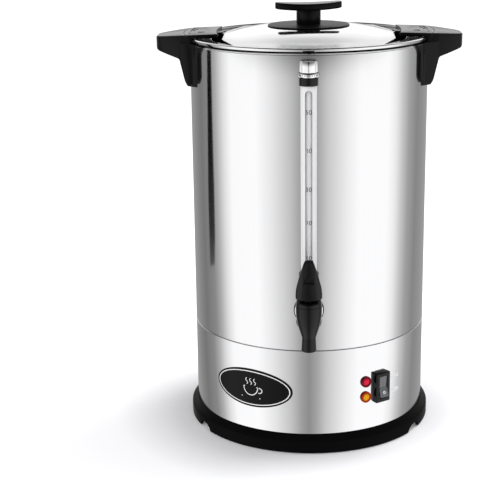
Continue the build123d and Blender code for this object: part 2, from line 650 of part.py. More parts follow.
def make_switch_frame():
    """Bezel on the wall and the box behind it that carries the rocker."""
    at = wall_plane(SWITCH_ANGLE, SWITCH_Z, SHELL_R)
    bezel = at * Pos(0, 0, SWITCH_PROUD / 2 - 1.0) * Box(SWITCH_W, SWITCH_H, SWITCH_PROUD + 2.0)
    bezel -= disc(SHELL_R, 0, SEAM_Z)
    body_w = SWITCH_W - 2 * SWITCH_FRAME
    body_h = SWITCH_H - 2 * SWITCH_FRAME
    body = at * Pos(0, 0, -9.0) * Box(body_w, body_h, 24)
    frame = bezel + body
    well_w = body_w - 2 * SWITCH_CHEEK
    well_h = body_h - 2 * SWITCH_CHEEK
    frame -= at * Pos(0, 0, SWITCH_PROUD - 6.5) * Box(well_w, well_h, 13.2)
    bore = Rot(0, 90, 0) * Cylinder(ROCKER_PIN_R + RUNNING_GAP, well_w + 2 * ROCKER_PIN_IN + 0.2)
    frame -= at * Pos(0, 0, ROCKER_AXIS) * bore
    for y in (-6.0, 6.0):
        frame += at * Pos(0, y, -24.0) * Box(0.8, 4.8, 7)
    return frame


def rocker_size():
    width = SWITCH_W - 2 * SWITCH_FRAME - 2 * SWITCH_CHEEK - 2 * ROCKER_SIDE_GAP
    height = SWITCH_H - 2 * SWITCH_FRAME - 2 * SWITCH_CHEEK - 2 * ROCKER_SIDE_GAP
    return width, height


def make_switch_rocker():
    """Rocker with two stub pins, a shallow V on its face; it stands pressed in at the top."""
    width, height = rocker_size()
    reach = height / 2
    crest = SWITCH_PROUD - ROCKER_AXIS - 0.4
    lift = reach * sin(radians(ROCKER_TILT))
    outline = Polyline(
        (-reach * 0.93, crest + lift * 0.9), (0, crest - 0.6), (reach * 0.93, crest + lift * 0.9),
        (reach * 0.93, crest - 2.2), (reach * 0.55, -3.2), (-reach * 0.55, -3.2),
        (-reach * 0.93, crest - 2.2), close=True)
    body = extrude(Plane.YZ * make_face(outline), width / 2, both=True)
    rocker = body + Rot(0, 90, 0) * Cylinder(ROCKER_PIN_R, width + 2 * (ROCKER_SIDE_GAP + ROCKER_PIN_IN))
    at = wall_plane(SWITCH_ANGLE, SWITCH_Z, SHELL_R)
    return at * Pos(0, 0, ROCKER_AXIS) * Rot(-ROCKER_TILT, 0, 0) * rocker


def make_lamp_bezels():
    bezels = []
    for z in LAMP_Z:
        at = wall_plane(LAMP_ANGLE, z, SHELL_R)
        rim = Pos(0, 0, 0.3) * (Cylinder(LAMP_R, 2.4) - Cylinder(LAMP_LENS_R + 0.02, 6))
        bezels.append(at * rim - disc(SHELL_R, 0, SEAM_Z))
    return group(bezels)


def make_lamp(z):
    """Pilot lamp: domed lens outside, plain barrel inside, two tags."""
    lens = Cylinder(LAMP_LENS_R - 0.05, 16, align=(Align.CENTER, Align.CENTER, Align.MAX))
    dome_r = (LAMP_LENS_R ** 2 + 1.8 ** 2) / (2 * 1.8)
    dome = Pos(0, 0, 1.8 - dome_r) * Sphere(dome_r) & Pos(0, 0, 2) * Cylinder(LAMP_LENS_R - 0.05, 4.0)
    tags = Box(0.6, 3, 8, align=(Align.CENTER, Align.CENTER, Align.MAX))
    lamp = lens + dome + Pos(-1.8, 0, -15.5) * tags + Pos(1.8, 0, -15.5) * tags
    return wall_plane(LAMP_ANGLE, z, SHELL_R) * Pos(0, 0, 0.6) * lamp


def make_badge():
    """Plain oval plate curved to the band."""
    at = wall_plane(BADGE_ANGLE, BADGE_Z, SHELL_R)
    oval = at * extrude(Ellipse(BADGE_W / 2, BADGE_H / 2), 40, both=True)
    skin = tube(SHELL_R + BADGE_THICK, SHELL_R, BADGE_Z - BADGE_H, BADGE_Z + BADGE_H)
    front = at * Pos(0, 0, 20) * Box(2 * BADGE_W, 2 * BADGE_H, 100)
    return (skin & oval) & front


# ---------------------------------------------------------------- tap
def make_tap_body():
    """Moulded valve body: bulb, spout, side boss and gauge riser, bored right through."""
    bulb = Spline((BULB_R, BULB_Z), (BULB_R * 0.9, BULB_Z - 9), (BULB_R * 0.66, NECK_Z + 5.5),
                  (NECK_R, NECK_Z))
    outline = [
        Line((0, CHAMBER_TOP_Z), (BULB_R * BULB_TOP_SHARE, CHAMBER_TOP_Z)),
        Line((BULB_R * BULB_TOP_SHARE, CHAMBER_TOP_Z), (BULB_R, BULB_Z)),
        bulb,
        Line((NECK_R, NECK_Z), (SPOUT_R, SPOUT_END_Z)),
        Line((SPOUT_R, SPOUT_END_Z), (0, SPOUT_END_Z)),
        Line((0, SPOUT_END_Z), (0, CHAMBER_TOP_Z)),
    ]
    body = Pos(0, VALVE_Y, 0) * revolve(Plane.XZ * make_face(outline), Axis.Z)
    body += rod_y(BARREL_R, VALVE_Y, BOSS_Y, z=SHANK_Z)
    body += disc(RISER_R, SHANK_Z, GAUGE_FOOT_Z, y=GAUGE_Y)
    body -= disc(CHAMBER_R, SEAT_Z, CHAMBER_TOP_Z + 1, y=VALVE_Y)
    body -= disc(SPOUT_BORE, SPOUT_END_Z - 1, SEAT_Z + 1, y=VALVE_Y)
    body -= rod_y(SHANK_BORE, VALVE_Y, BOSS_Y + 1, z=SHANK_Z)
    body -= rod_y(SHANK_R + THREAD_GAP, BOSS_Y - SHANK_IN_BODY, BOSS_Y + 1, z=SHANK_Z)
    body -= disc(GLASS_BORE, SHANK_Z, GAUGE_FOOT_Z, y=GAUGE_Y)
    return body - disc(SEAL_R + THREAD_GAP, GAUGE_FOOT_Z - GLASS_SEAT_DEPTH, GAUGE_FOOT_Z + 1, y=GAUGE_Y)


def make_tap_shank():
    """Hollow threaded shank through the tank wall, with a round collar outside."""
    outer_y = BOSS_Y - SHANK_IN_BODY
    inner_y = -INNER_R + SHANK_IN_TANK
    shank = rod_y(SHANK_R, outer_y, inner_y, z=SHANK_Z) + rod_y(COLLAR_R, BOSS_Y, COLLAR_Y, z=SHANK_Z)
    return shank - rod_y(SHANK_BORE, outer_y - 1, inner_y + 1, z=SHANK_Z)


def make_outer_washer():
    """Silicone washer shaped to the round wall."""
    washer = rod_y(COLLAR_R - 1.2, COLLAR_Y, -SHELL_R + 4, z=SHANK_Z)
    washer -= rod_y(SHANK_R + THREAD_GAP, -SHELL_R - 9, -SHELL_R + 9, z=SHANK_Z)
    return washer - disc(SHELL_R, 0, BEAD_TOP_Z)


def make_inner_washer():
    washer = rod_y(COLLAR_R - 1.2, -SHELL_R, NUT_Y, z=SHANK_Z)
    washer -= rod_y(SHANK_R + THREAD_GAP, -SHELL_R - 9, -SHELL_R + 9, z=SHANK_Z)
    return washer & disc(INNER_R, 0, BEAD_TOP_Z)


def make_shank_nut():
    nut = Pos(0, NUT_Y, SHANK_Z) * Rot(-90, 0, 0) * hexagon(SHANK_NUT_FLATS, SHANK_NUT_H)
    return nut - rod_y(SHANK_R + THREAD_GAP, NUT_Y - 1, NUT_Y + SHANK_NUT_H + 1, z=SHANK_Z)


def make_tap_bonnet():
    """Screwed cap over the valve chamber that guides the stem."""
    neck_z = CHAMBER_TOP_Z - BONNET_NECK
    bonnet = disc(BULB_R * BULB_TOP_SHARE, CHAMBER_TOP_Z, BONNET_TOP_Z, y=VALVE_Y)
    bonnet += disc(CHAMBER_R - THREAD_GAP, neck_z, CHAMBER_TOP_Z + 0.1, y=VALVE_Y)
    bonnet -= disc(SPRING_R + 2 * SPRING_WIRE_R, neck_z - 1, CHAMBER_TOP_Z, y=VALVE_Y)
    return bonnet - disc(STEM_ROD_R + RUNNING_GAP, neck_z - 1, BONNET_TOP_Z + 1, y=VALVE_Y)


def make_valve_stem():
    """Stem with an eye above the bonnet and a barbed foot in the seat cup."""
    stem = disc(STEM_ROD_R, SEAT_Z + 3, PIVOT_Z, y=VALVE_Y)
    stem += rod_x(EYE_HALF, -EYE_HALF, EYE_HALF, y=VALVE_Y, z=PIVOT_Z)
    stem += disc(STEM_ROD_R + 1.2, SEAT_Z + 4, SEAT_Z + 5.2, y=VALVE_Y)
    return stem - rod_x(PIVOT_R + 0.02, -9, 9, y=VALVE_Y, z=PIVOT_Z)


def make_seat_cup():
    """Silicone cup on the stem's foot that closes the outlet."""
    z0 = SEAT_Z + SEAT_CLEARANCE
    cup = disc(CUP_R, z0, z0 + CUP_H, y=VALVE_Y)
    cup -= disc(STEM_ROD_R, SEAT_Z + 3, z0 + CUP_H + 1, y=VALVE_Y)
    return cup - disc(STEM_ROD_R + 1.2, SEAT_Z + 4, SEAT_Z + 5.2, y=VALVE_Y)


def make_tap_spring():
    """Closing spring between the seat cup and the bonnet."""
    z0 = SEAT_Z + SEAT_CLEARANCE + CUP_H + SPRING_WIRE_R + 0.1
    z1 = CHAMBER_TOP_Z - SPRING_WIRE_R - 0.1
    pitch = (z1 - z0) / SPRING_TURNS
    path = Pos(0, VALVE_Y, z0) * Helix(pitch, z1 - z0, SPRING_R)
    section = Plane(origin=path @ 0, z_dir=path % 0) * Circle(SPRING_WIRE_R)
    return sweep(section, path=path, is_frenet=True)


def make_lever_pin():
    return rod_x(PIVOT_R, -LEVER_HALF + 0.6, LEVER_HALF - 0.6, y=VALVE_Y, z=PIVOT_Z)


def make_tap_lever():
    """Paddle lever: front plate, two cheeks on the pin and a rounded lifting toe."""
    front_y = VALVE_Y - LEVER_FRONT
    toe_y = VALVE_Y - TOE_OFFSET
    low_z = PIVOT_Z - TOE_R
    side = [
        Line((toe_y, low_z), (VALVE_Y, PIVOT_Z - HUB_R)),
        ThreePointArc((VALVE_Y, PIVOT_Z - HUB_R), (VALVE_Y + HUB_R, PIVOT_Z), (VALVE_Y, PIVOT_Z + HUB_R)),
        Line((VALVE_Y, PIVOT_Z + HUB_R), (front_y + LEVER_THICK, PIVOT_Z + 12)),
        Line((front_y + LEVER_THICK, PIVOT_Z + 12), (front_y + 3.0, LEVER_TIP_Z)),
        Line((front_y + 3.0, LEVER_TIP_Z), (front_y + 0.6, LEVER_TIP_Z)),
        Line((front_y + 0.6, LEVER_TIP_Z), (front_y, PIVOT_Z + 8)),
        Line((front_y, PIVOT_Z + 8), (front_y + 0.4, PIVOT_Z)),
        ThreePointArc((front_y + 0.4, PIVOT_Z), (toe_y - TOE_R * 0.72, PIVOT_Z - TOE_R * 0.69),
                      (toe_y, low_z)),
    ]
    body = extrude(Plane.YZ * make_face(side), LEVER_HALF, both=True)
    shoulder_z = PIVOT_Z - 1.5
    outline = [
        ThreePointArc((-LEVER_HALF, shoulder_z), (0, low_z - 0.3), (LEVER_HALF, shoulder_z)),
        Spline((LEVER_HALF, shoulder_z), (LEVER_HALF * 0.99, PIVOT_Z + 4),
               (LEVER_HALF * 0.86, PIVOT_Z + 13.7),
               (LEVER_HALF * 0.56, PIVOT_Z + 25.2), (LEVER_TIP_HALF, LEVER_TIP_Z - 2)),
        ThreePointArc((LEVER_TIP_HALF, LEVER_TIP_Z - 2), (0, LEVER_TIP_Z),
                      (-LEVER_TIP_HALF, LEVER_TIP_Z - 2)),
        Spline((-LEVER_TIP_HALF, LEVER_TIP_Z - 2), (-LEVER_HALF * 0.56, PIVOT_Z + 25.2),
               (-LEVER_HALF * 0.86, PIVOT_Z + 13.7), (-LEVER_HALF * 0.99, PIVOT_Z + 4),
               (-LEVER_HALF, shoulder_z)),
    ]
    front = Pos(0, VALVE_Y, 0) * extrude(Plane.XZ * make_face(outline), 30, both=True)
    lever = body & front
    inner = LEVER_CHEEK_IN
    lever -= block(-inner, inner, front_y + LEVER_THICK, VALVE_Y + 2 * HUB_R, low_z - 3, PIVOT_Z + 9)
    return lever - rod_x(PIVOT_R + RUNNING_GAP, -20, 20, y=VALVE_Y, z=PIVOT_Z)


# ---------------------------------------------------------------- sight gauge
def make_gauge_glass():
    return tube(GLASS_R, GLASS_BORE, GAUGE_FOOT_Z - GLASS_SEAT_DEPTH, GAUGE_HEAD_Z + GLASS_RISE, y=GAUGE_Y)


def make_gauge_shield():
    """Metal sleeve with a long window in front, round at both ends."""
    sleeve = tube(SHIELD_R, SHIELD_R - SHIELD_WALL, GAUGE_FOOT_Z, UPPER_COLLAR_Z + SHIELD_GRIP, y=GAUGE_Y)
    low = GAUGE_FOOT_Z + LOWER_COLLAR_H + SHIELD_SLOT_END
    high = UPPER_COLLAR_Z - SHIELD_SLOT_END
    window = extrude(Plane.XZ * Rot(0, 0, 90) * SlotOverall(high - low, SHIELD_SLOT), 2 * SHIELD_R)
    return sleeve - Pos(0, GAUGE_Y, (low + high) / 2) * window


def make_gauge_seals():
    """Silicone sleeves that seal and centre the glass at each end."""
    lower = tube(SEAL_R, GLASS_R, GAUGE_FOOT_Z - GLASS_SEAT_DEPTH, GAUGE_FOOT_Z, y=GAUGE_Y)
    upper = tube(SEAL_R, GLASS_R, UPPER_COLLAR_Z + SHIELD_GRIP + 0.8, GAUGE_HEAD_Z, y=GAUGE_Y)
    return group([lower, upper])


def make_lower_collar():
    """Union nut on the riser; its upper part holds the shield."""
    collar = disc(LOWER_COLLAR_R, GAUGE_FOOT_Z - 2.5, GAUGE_FOOT_Z + LOWER_COLLAR_H, y=GAUGE_Y)
    collar -= disc(RISER_R + THREAD_GAP, GAUGE_FOOT_Z - 3, GAUGE_FOOT_Z, y=GAUGE_Y)
    return collar - disc(SHIELD_R + THREAD_GAP, GAUGE_FOOT_Z - 1, GAUGE_FOOT_Z + 9, y=GAUGE_Y)


def make_top_bracket():
    """Collar round the gauge's top, on a stud through the tank wall."""
    shield_top = UPPER_COLLAR_Z + SHIELD_GRIP
    bracket = disc(UPPER_COLLAR_R, UPPER_COLLAR_Z, GAUGE_HEAD_Z, y=GAUGE_Y)
    bracket += rod_y(BRACKET_STUD_R, GAUGE_Y, -INNER_R + BRACKET_STUD_IN, z=BRACKET_Z)
    bracket += rod_y(BRACKET_ARM_R, GAUGE_Y, -SHELL_R + 2, z=BRACKET_Z) - disc(SHELL_R, 0, BEAD_TOP_Z)
    bracket -= disc(SEAL_R + THREAD_GAP, shield_top + 0.8, GAUGE_HEAD_Z + 1, y=GAUGE_Y)
    bracket -= disc(GLASS_R + HOLE_GAP, UPPER_COLLAR_Z - 1, GAUGE_HEAD_Z, y=GAUGE_Y)
    return bracket - disc(SHIELD_R + THREAD_GAP, UPPER_COLLAR_Z - 1, shield_top, y=GAUGE_Y)


def make_bracket_nut():
    flats = 4 * BRACKET_STUD_R
    y = -sqrt(INNER_R ** 2 - (0.58 * flats) ** 2)
    nut = Pos(0, y, BRACKET_Z) * Rot(-90, 0, 0) * hexagon(flats, 4.0)
    return nut - rod_y(BRACKET_STUD_R + THREAD_GAP, y - 1, y + 6, z=BRACKET_Z)


def make_gauge_cap():
    """Plated vent cap: round flange below, eight-sided grip above."""
    z0 = GAUGE_HEAD_Z
    z1 = z0 + CAP_FLANGE_H
    cap = disc(CAP_FLANGE_R, z0, z1, y=GAUGE_Y)
    octagon = RegularPolygon(CAP_R, 8, major_radius=False)
    grip = Pos(0, GAUGE_Y, z1) * Rot(0, 0, 22.5) * extrude(octagon, CAP_TOP_Z - z1)
    corner_r = CAP_R + 0.4
    grip &= turned([(0, z0), (corner_r, z0), (corner_r, CAP_TOP_Z - 2), (CAP_R - 2, CAP_TOP_Z),
                    (0, CAP_TOP_Z)], y=GAUGE_Y)
    return cap + grip - disc(GLASS_R + HOLE_GAP, z0 - 1, z0 + 2 * GLASS_RISE, y=GAUGE_Y)


# ---------------------------------------------------------------- handles
def make_handle():
    """Right-hand handle: grip, leg down the wall, wall pad, and hook over the rim."""
    end_top = HANDLE_TOP_Z - HANDLE_FALL
    end_low = end_top - HANDLE_END_H
    foot_z = BEAD_TOP_Z - LEG_DROP
    profile = Polyline(
        (HANDLE_INNER_X - 6, HANDLE_TOP_Z), (SHELL_R + 3, HANDLE_TOP_Z - 1.0), (HANDLE_REACH, end_top),
        (HANDLE_REACH, end_low), (LEG_TOP_X, BEAD_TOP_Z - LEG_TOP_DROP), (LEG_FOOT_X, foot_z + 3),
        (SHELL_R + WALL_GAP, foot_z), (SHELL_R - 30, foot_z), (SHELL_R - 30, HANDLE_BOTTOM_Z),
        (HANDLE_INNER_X - 6, HANDLE_BOTTOM_Z), close=True)
    side = extrude(Plane.XZ * make_face(profile), 2 * HANDLE_HALF, both=True)

    plan_side = (SHELL_R - 3, HANDLE_HALF)
    plan_end = (HANDLE_REACH - 2.5, HANDLE_END_HALF)
    bulge = (0.55 * plan_side[0] + 0.45 * plan_end[0], 0.5 * HANDLE_HALF + 0.5 * HANDLE_END_HALF + 3.4)
    hollow_x = HANDLE_INNER_X + HANDLE_HOLLOW
    outline = [
        ThreePointArc((HANDLE_INNER_X, -HANDLE_HALF), (hollow_x, 0), (HANDLE_INNER_X, HANDLE_HALF)),
        Line((HANDLE_INNER_X, HANDLE_HALF), plan_side),
        ThreePointArc(plan_side, bulge, plan_end),
        ThreePointArc(plan_end, (HANDLE_REACH, 0), (plan_end[0], -plan_end[1])),
        ThreePointArc((plan_end[0], -plan_end[1]), (bulge[0], -bulge[1]), (plan_side[0], -plan_side[1])),
        Line((plan_side[0], -plan_side[1]), (HANDLE_INNER_X, -HANDLE_HALF)),
    ]
    plan = extrude(make_face(outline), HANDLE_TOP_Z + 10)
    leg_root = (SHELL_R**2 - LEG_HALF**2) ** 0.5
    leg_top = BEAD_CENTRE_Z - BEAD_R - 0.4
    leg_outline = Polyline((SHELL_R - 30, -LEG_HALF), (leg_root, -LEG_HALF), (LEG_TOP_X, -LEG_EDGE_HALF),
                           (LEG_TOP_X, LEG_EDGE_HALF), (leg_root, LEG_HALF), (SHELL_R - 30, LEG_HALF),
                           close=True)
    grip = side & (plan + extrude(make_face(leg_outline), leg_top))

    hook = extrude(Polygon((HANDLE_INNER_X + HANDLE_HOLLOW + 4, 11), (HOOK_X, 4), (HOOK_X, -4),
                           (HANDLE_INNER_X + HANDLE_HOLLOW + 4, -11), align=None), 2.2)
    grip += Pos(0, 0, HANDLE_BOTTOM_Z) * hook

    pad = tube(SHELL_R + PAD_THICK, SHELL_R + WALL_GAP, foot_z, leg_top)
    pad_top = BEAD_CENTRE_Z
    corner = (PAD_HALF - PAD_CORNER_R, foot_z + PAD_LIFT)
    corner_mid = (PAD_HALF - PAD_CORNER_R * (1 - 0.5**0.5), corner[1] + PAD_CORNER_R * (1 - 0.5**0.5))
    corner_up = (PAD_HALF, corner[1] + PAD_CORNER_R)
    pad_face = [
        Line((PAD_HALF + PAD_FLARE, pad_top), (PAD_HALF, pad_top - PAD_FLARE)),
        Line((PAD_HALF, pad_top - PAD_FLARE), corner_up),
        ThreePointArc(corner_up, corner_mid, corner),
        ThreePointArc(corner, (0, foot_z), (-corner[0], corner[1])),
        ThreePointArc((-corner[0], corner[1]), (-corner_mid[0], corner_mid[1]), (-corner_up[0], corner_up[1])),
        Line((-corner_up[0], corner_up[1]), (-PAD_HALF, pad_top - PAD_FLARE)),
        Line((-PAD_HALF, pad_top - PAD_FLARE), (-PAD_HALF - PAD_FLARE, pad_top)),
        Line((-PAD_HALF - PAD_FLARE, pad_top), (PAD_HALF + PAD_FLARE, pad_top)),
    ]
    pad_outline = extrude(Plane.YZ * make_face(pad_face), HANDLE_REACH + 5)
    upper = block(0, HANDLE_REACH + 5, -HANDLE_HALF - 5, HANDLE_HALF + 5, pad_top - 5, HANDLE_TOP_Z + 5)
    grip &= pad_outline + upper
    grip -= disc(SHELL_R + WALL_GAP, 0, BEAD_CENTRE_Z)
    grip -= disc(SHELL_R + BEAD_PROUD + 0.3, leg_top, HANDLE_BOTTOM_Z)
    handle = grip + (pad & pad_outline)
    hole = Pos(0, 0, HANDLE_SCREW_LEN / 2) * Cylinder(HANDLE_SCREW_R + THREAD_GAP, HANDLE_SCREW_LEN + 1)
    for turn in (-HANDLE_SCREW_ANGLE, HANDLE_SCREW_ANGLE):
        handle -= wall_plane(90 + turn, HANDLE_SCREW_Z, SHELL_R) * hole
    return handle


def handle_screw(side, turn):
    """Pan screw from inside the tank."""
    at = wall_plane(side + turn, HANDLE_SCREW_Z, INNER_R)
    head = Pos(0, 0, -HANDLE_WASHER - 1.5) * Cylinder(4.4, 3.0)
    head -= Pos(0, 0, -HANDLE_WASHER - 3.0) * (Box(5, 1, 2) + Box(1, 5, 2))
    middle = (HANDLE_SCREW_LEN - HANDLE_WASHER) / 2
    shank = Pos(0, 0, middle) * Cylinder(HANDLE_SCREW_R, HANDLE_SCREW_LEN + HANDLE_WASHER)
    return at * (head + shank)


def handle_washer(side, turn):
    """Silicone washer under the screw's head, curved to the wall."""
    at = wall_plane(side + turn, HANDLE_SCREW_Z, INNER_R)
    ring = Pos(0, 0, -HANDLE_WASHER / 2) * Cylinder(5.6, HANDLE_WASHER)
    ring -= Cylinder(HANDLE_SCREW_R + THREAD_GAP, 10)
    return (at * ring) & disc(INNER_R, 0, BEAD_TOP_Z)


# ---------------------------------------------------------------- lid
def make_lid():
    """Pressed dome with a rolled edge, cut away at the two handles."""
    top = LID_FLANGE_Z
    low = top - LID_SHEET
    rise = LID_DOME_H
    half = (LID_FLANGE_R + DISC_R) / 2
    upper = [
        Line((0, top + rise), (DISC_R, top + rise)),
        Spline((DISC_R, top + rise), (half, top + 0.72 * rise), (LID_FLANGE_R, top + 0.06 * rise),
               (LID_FLANGE_R + 5, top), tangents=((1, -0.06), (1, 0))),
        Line((LID_FLANGE_R + 5, top), (LID_R, top)),
        Line((LID_R, top), (LID_R, low)),
        Line((LID_R, low), (LID_FLANGE_R + 5, low)),
        Spline((LID_FLANGE_R + 5, low), (LID_FLANGE_R, low + 0.06 * rise), (half, low + 0.72 * rise),
               (DISC_R, low + rise), tangents=((-1, 0), (-1, 0.06))),
        Line((DISC_R, low + rise), (0, low + rise)),
        Line((0, low + rise), (0, top + rise)),
    ]
    lid = revolve(Plane.XZ * make_face(upper), Axis.Z)
    lid += Pos(0, 0, top) * Torus(LID_R - LID_EDGE_R, LID_EDGE_R)
    cut_end_y = sqrt(LID_R ** 2 - LID_CUT_END_X ** 2)
    far = 2 * LID_R
    cut = Polygon((LID_FLAT, -LID_FLAT_HALF), (LID_FLAT, LID_FLAT_HALF), (LID_CUT_END_X, cut_end_y),
                  (LID_CUT_END_X + 20, far), (far, far), (far, -far), (LID_CUT_END_X + 20, -far),
                  (LID_CUT_END_X, -cut_end_y), align=None)
    cutter = Pos(0, 0, top) * extrude(cut, 20, both=True)
    lid -= cutter
    lid -= mirror(cutter, Plane.YZ)
    return lid - disc(KNOB_SCREW_R + 0.1, low, top + rise + 5)


def make_lid_seal():
    """Flat silicone ring on the lid seat."""
    return tube(LID_R - 1.5, LEDGE_INNER_R + 2.5, LEDGE_TOP_Z, LEDGE_TOP_Z + LID_SEAL - SEAL_NIP)


def make_knob_disc():
    outer = DISC_R
    plate = turned([(0, DISC_Z), (outer - 0.6, DISC_Z), (outer, DISC_Z + 0.5),
                    (outer - 0.5, DISC_Z + 0.7 * DISC_THICK), (STEM_R + 4, STEM_Z), (0, STEM_Z)])
    return plate - disc(KNOB_SCREW_R + 0.1, DISC_Z - 1, STEM_Z + 1)


def make_knob_stem():
    stem = turned([(0, STEM_Z), (STEM_R, STEM_Z), (STEM_R, KNOB_Z), (0, KNOB_Z)])
    return stem - disc(KNOB_SCREW_R + THREAD_GAP, STEM_Z - 1, KNOB_Z + 1)


def make_knob_bar():
    """Boat-shaped bar with upturned ends, turned a little on its stem."""
    low_mid = (0, KNOB_Z)
    side = [
        ThreePointArc((-KNOB_HALF, KNOB_Z + KNOB_RISE), low_mid, (KNOB_HALF, KNOB_Z + KNOB_RISE)),
        Line((KNOB_HALF, KNOB_Z + KNOB_RISE), (KNOB_HALF, KNOB_Z + KNOB_RISE + KNOB_THICK)),
        ThreePointArc((KNOB_HALF, KNOB_Z + KNOB_RISE + KNOB_THICK), (0, KNOB_Z + KNOB_THICK),
                      (-KNOB_HALF, KNOB_Z + KNOB_RISE + KNOB_THICK)),
        Line((-KNOB_HALF, KNOB_Z + KNOB_RISE + KNOB_THICK), (-KNOB_HALF, KNOB_Z + KNOB_RISE)),
    ]
    bar = extrude(Plane.XZ * make_face(side), KNOB_DEPTH, both=True)
    end_half = 0.27 * KNOB_DEPTH
    tip = KNOB_HALF - 0.12 * KNOB_DEPTH
    outline = [
        ThreePointArc((-tip, end_half), (0, KNOB_DEPTH / 2), (tip, end_half)),
        ThreePointArc((tip, end_half), (KNOB_HALF, 0), (tip, -end_half)),
        ThreePointArc((tip, -end_half), (0, -KNOB_DEPTH / 2), (-tip, -end_half)),
        ThreePointArc((-tip, -end_half), (-KNOB_HALF, 0), (-tip, end_half)),
    ]
    bar &= extrude(make_face(outline), KNOB_Z + 40)
    bar = Rot(0, 0, KNOB_TURN) * bar
    return bar - disc(KNOB_SCREW_R + THREAD_GAP, KNOB_Z - 1, KNOB_Z + 3.5)


def make_knob_screw():
    under = DISC_Z - LID_SHEET
    screw = disc(KNOB_SCREW_R, under, KNOB_Z + 3.0) + disc(6.0, under - 3.2, under)
    return screw - Pos(0, 0, under - 3.2) * Box(7, 1.2, 2.6)


# ---------------------------------------------------------------- percolator
def make_percolator_foot():
    """Pump bell that stands in the well; water enters through slots in its edge."""
    z0 = WELL_Z
    bell = turned([
        (0, z0 + 11), (FOOT_BELL_R - 8, z0 + 7), (FOOT_BELL_R, z0), (FOOT_BELL_R - 1.2, z0),
        (FOOT_BELL_R - 9, z0 + 6), (0, z0 + 9.8),
    ])
    bell += disc(TUBE_R + 1.5, z0 + 7.6, z0 + 18)
    slot = Pos(0, 0, z0) * Box(8, 4, 3.2)
    bell -= on_circle(slot, FOOT_BELL_R - 1, 6)
    return bell - disc(TUBE_R, z0 - 1, z0 + 19)


def make_percolator_tube():
    """Riser tube with a stop collar that carries the basket."""
    z0 = WELL_Z + 10
    riser = tube(TUBE_R, TUBE_BORE, z0, TUBE_TOP_Z)
    return riser + tube(TUBE_R + 2.5, TUBE_R - 0.2, BASKET_Z - 3.0, BASKET_Z)


def make_basket():
    """Perforated coffee basket with a hub that slides down over the riser tube."""
    hub_r = TUBE_R + BASKET_HUB_GAP
    z0, z1 = BASKET_Z, BASKET_Z + BASKET_H
    outer = BASKET_R
    inner = BASKET_R - BASKET_SHEET
    basket = turned([
        (hub_r, z0), (outer, z0), (outer, z1 - BASKET_SHEET), (outer + 2, z1 - BASKET_SHEET),
        (outer + 2, z1), (inner, z1), (inner, z0 + BASKET_SHEET), (hub_r + BASKET_SHEET, z0 + BASKET_SHEET),
        (hub_r + BASKET_SHEET, z1 - 12), (hub_r, z1 - 12),
    ])
    hole = disc(1.3, z0 - 1, z0 + 2)
    holes = []
    for radius in range(14, int(BASKET_R) - 5, 10):
        holes += on_circle(hole, radius, round(0.7 * radius))
    slot = Pos(0, 0, z0 + 0.45 * BASKET_H) * Box(6, 1.6, 0.5 * BASKET_H)
    holes += on_circle(slot, BASKET_R, 36)
    return basket - holes


def make_basket_cover():
    """Perforated spreader lid that lies on the basket's rim."""
    z1 = BASKET_Z + BASKET_H
    hub_r = TUBE_R + BASKET_HUB_GAP
    cover = turned([
        (hub_r, z1 - 3 * BASKET_SHEET), (BASKET_R - BASKET_SHEET - 0.6, z1 - 3 * BASKET_SHEET),
        (BASKET_R - BASKET_SHEET - 0.6, z1), (BASKET_R + 2.5, z1), (BASKET_R + 2.5, z1 + BASKET_SHEET),
        (BASKET_R - 2 * BASKET_SHEET - 0.6, z1 + BASKET_SHEET),
        (BASKET_R - 2 * BASKET_SHEET - 0.6, z1 - 2 * BASKET_SHEET), (hub_r, z1 - 2 * BASKET_SHEET),
    ])
    hole = disc(1.6, z1 - 6, z1 + 3)
    holes = []
    for radius in range(16, int(BASKET_R) - 5, 12):
        holes += on_circle(hole, radius, round(radius / 2))
    return cover - holes


# ---------------------------------------------------------------- the set of parts
right_handle = make_handle()
screw_places = [(side, turn) for side in (90, -90) for turn in (-HANDLE_SCREW_ANGLE, HANDLE_SCREW_ANGLE)]
parts["tank"] = make_tank()
parts["lower_band"] = make_lower_band()
parts["base_ring"] = make_base_ring()
parts["bottom_plate"] = make_bottom_plate()
parts["rubber_feet"] = make_feet()
parts["base_screws"] = make_base_screws()
parts["tie_studs"] = make_tie_studs()
parts["tie_nuts"] = make_tie_nuts()
parts["pump_heater"] = make_pump_heater()
parts["heater_clamp"] = make_heater_clamp()
parts["clamp_studs"] = make_clamp_studs()
parts["clamp_nuts"] = make_clamp_nuts()
parts["keep_warm_element"] = make_keep_warm_element()
parts["brew_thermostat"] = make_thermostat(*THERMOSTAT_AT, THERMOSTAT_R, THERMOSTAT_R)
parts["dry_boil_cutout"] = make_thermostat(*CUTOUT_AT, CUTOUT_R, CUTOUT_R)
parts["thermal_fuse"] = make_thermal_fuse()
parts["terminal_block"] = make_terminal_block()
parts["inside_wires"] = make_wiring()
parts["power_inlet"] = make_power_inlet()
parts["inlet_pins"] = make_inlet_pins()
parts["inlet_screws"] = make_inlet_screws()
parts["inlet_nuts"] = make_inlet_nuts()
parts["switch_frame"] = make_switch_frame()
parts["switch_rocker"] = make_switch_rocker()
parts["lamp_bezels"] = make_lamp_bezels()
parts["lamp_red"] = make_lamp(LAMP_Z[0])
parts["lamp_amber"] = make_lamp(LAMP_Z[1])
parts["badge_plate"] = make_badge()
parts["handle_right"] = right_handle
parts["handle_left"] = mirror(right_handle, Plane.YZ)
parts["handle_screws"] = group([handle_screw(*at) for at in screw_places])
parts["handle_washers"] = group([handle_washer(*at) for at in screw_places])
parts["tap_body"] = make_tap_body()
parts["tap_shank"] = make_tap_shank()
parts["tap_outer_washer"] = make_outer_washer()
parts["tap_inner_washer"] = make_inner_washer()
parts["tap_shank_nut"] = make_shank_nut()
parts["tap_bonnet"] = make_tap_bonnet()
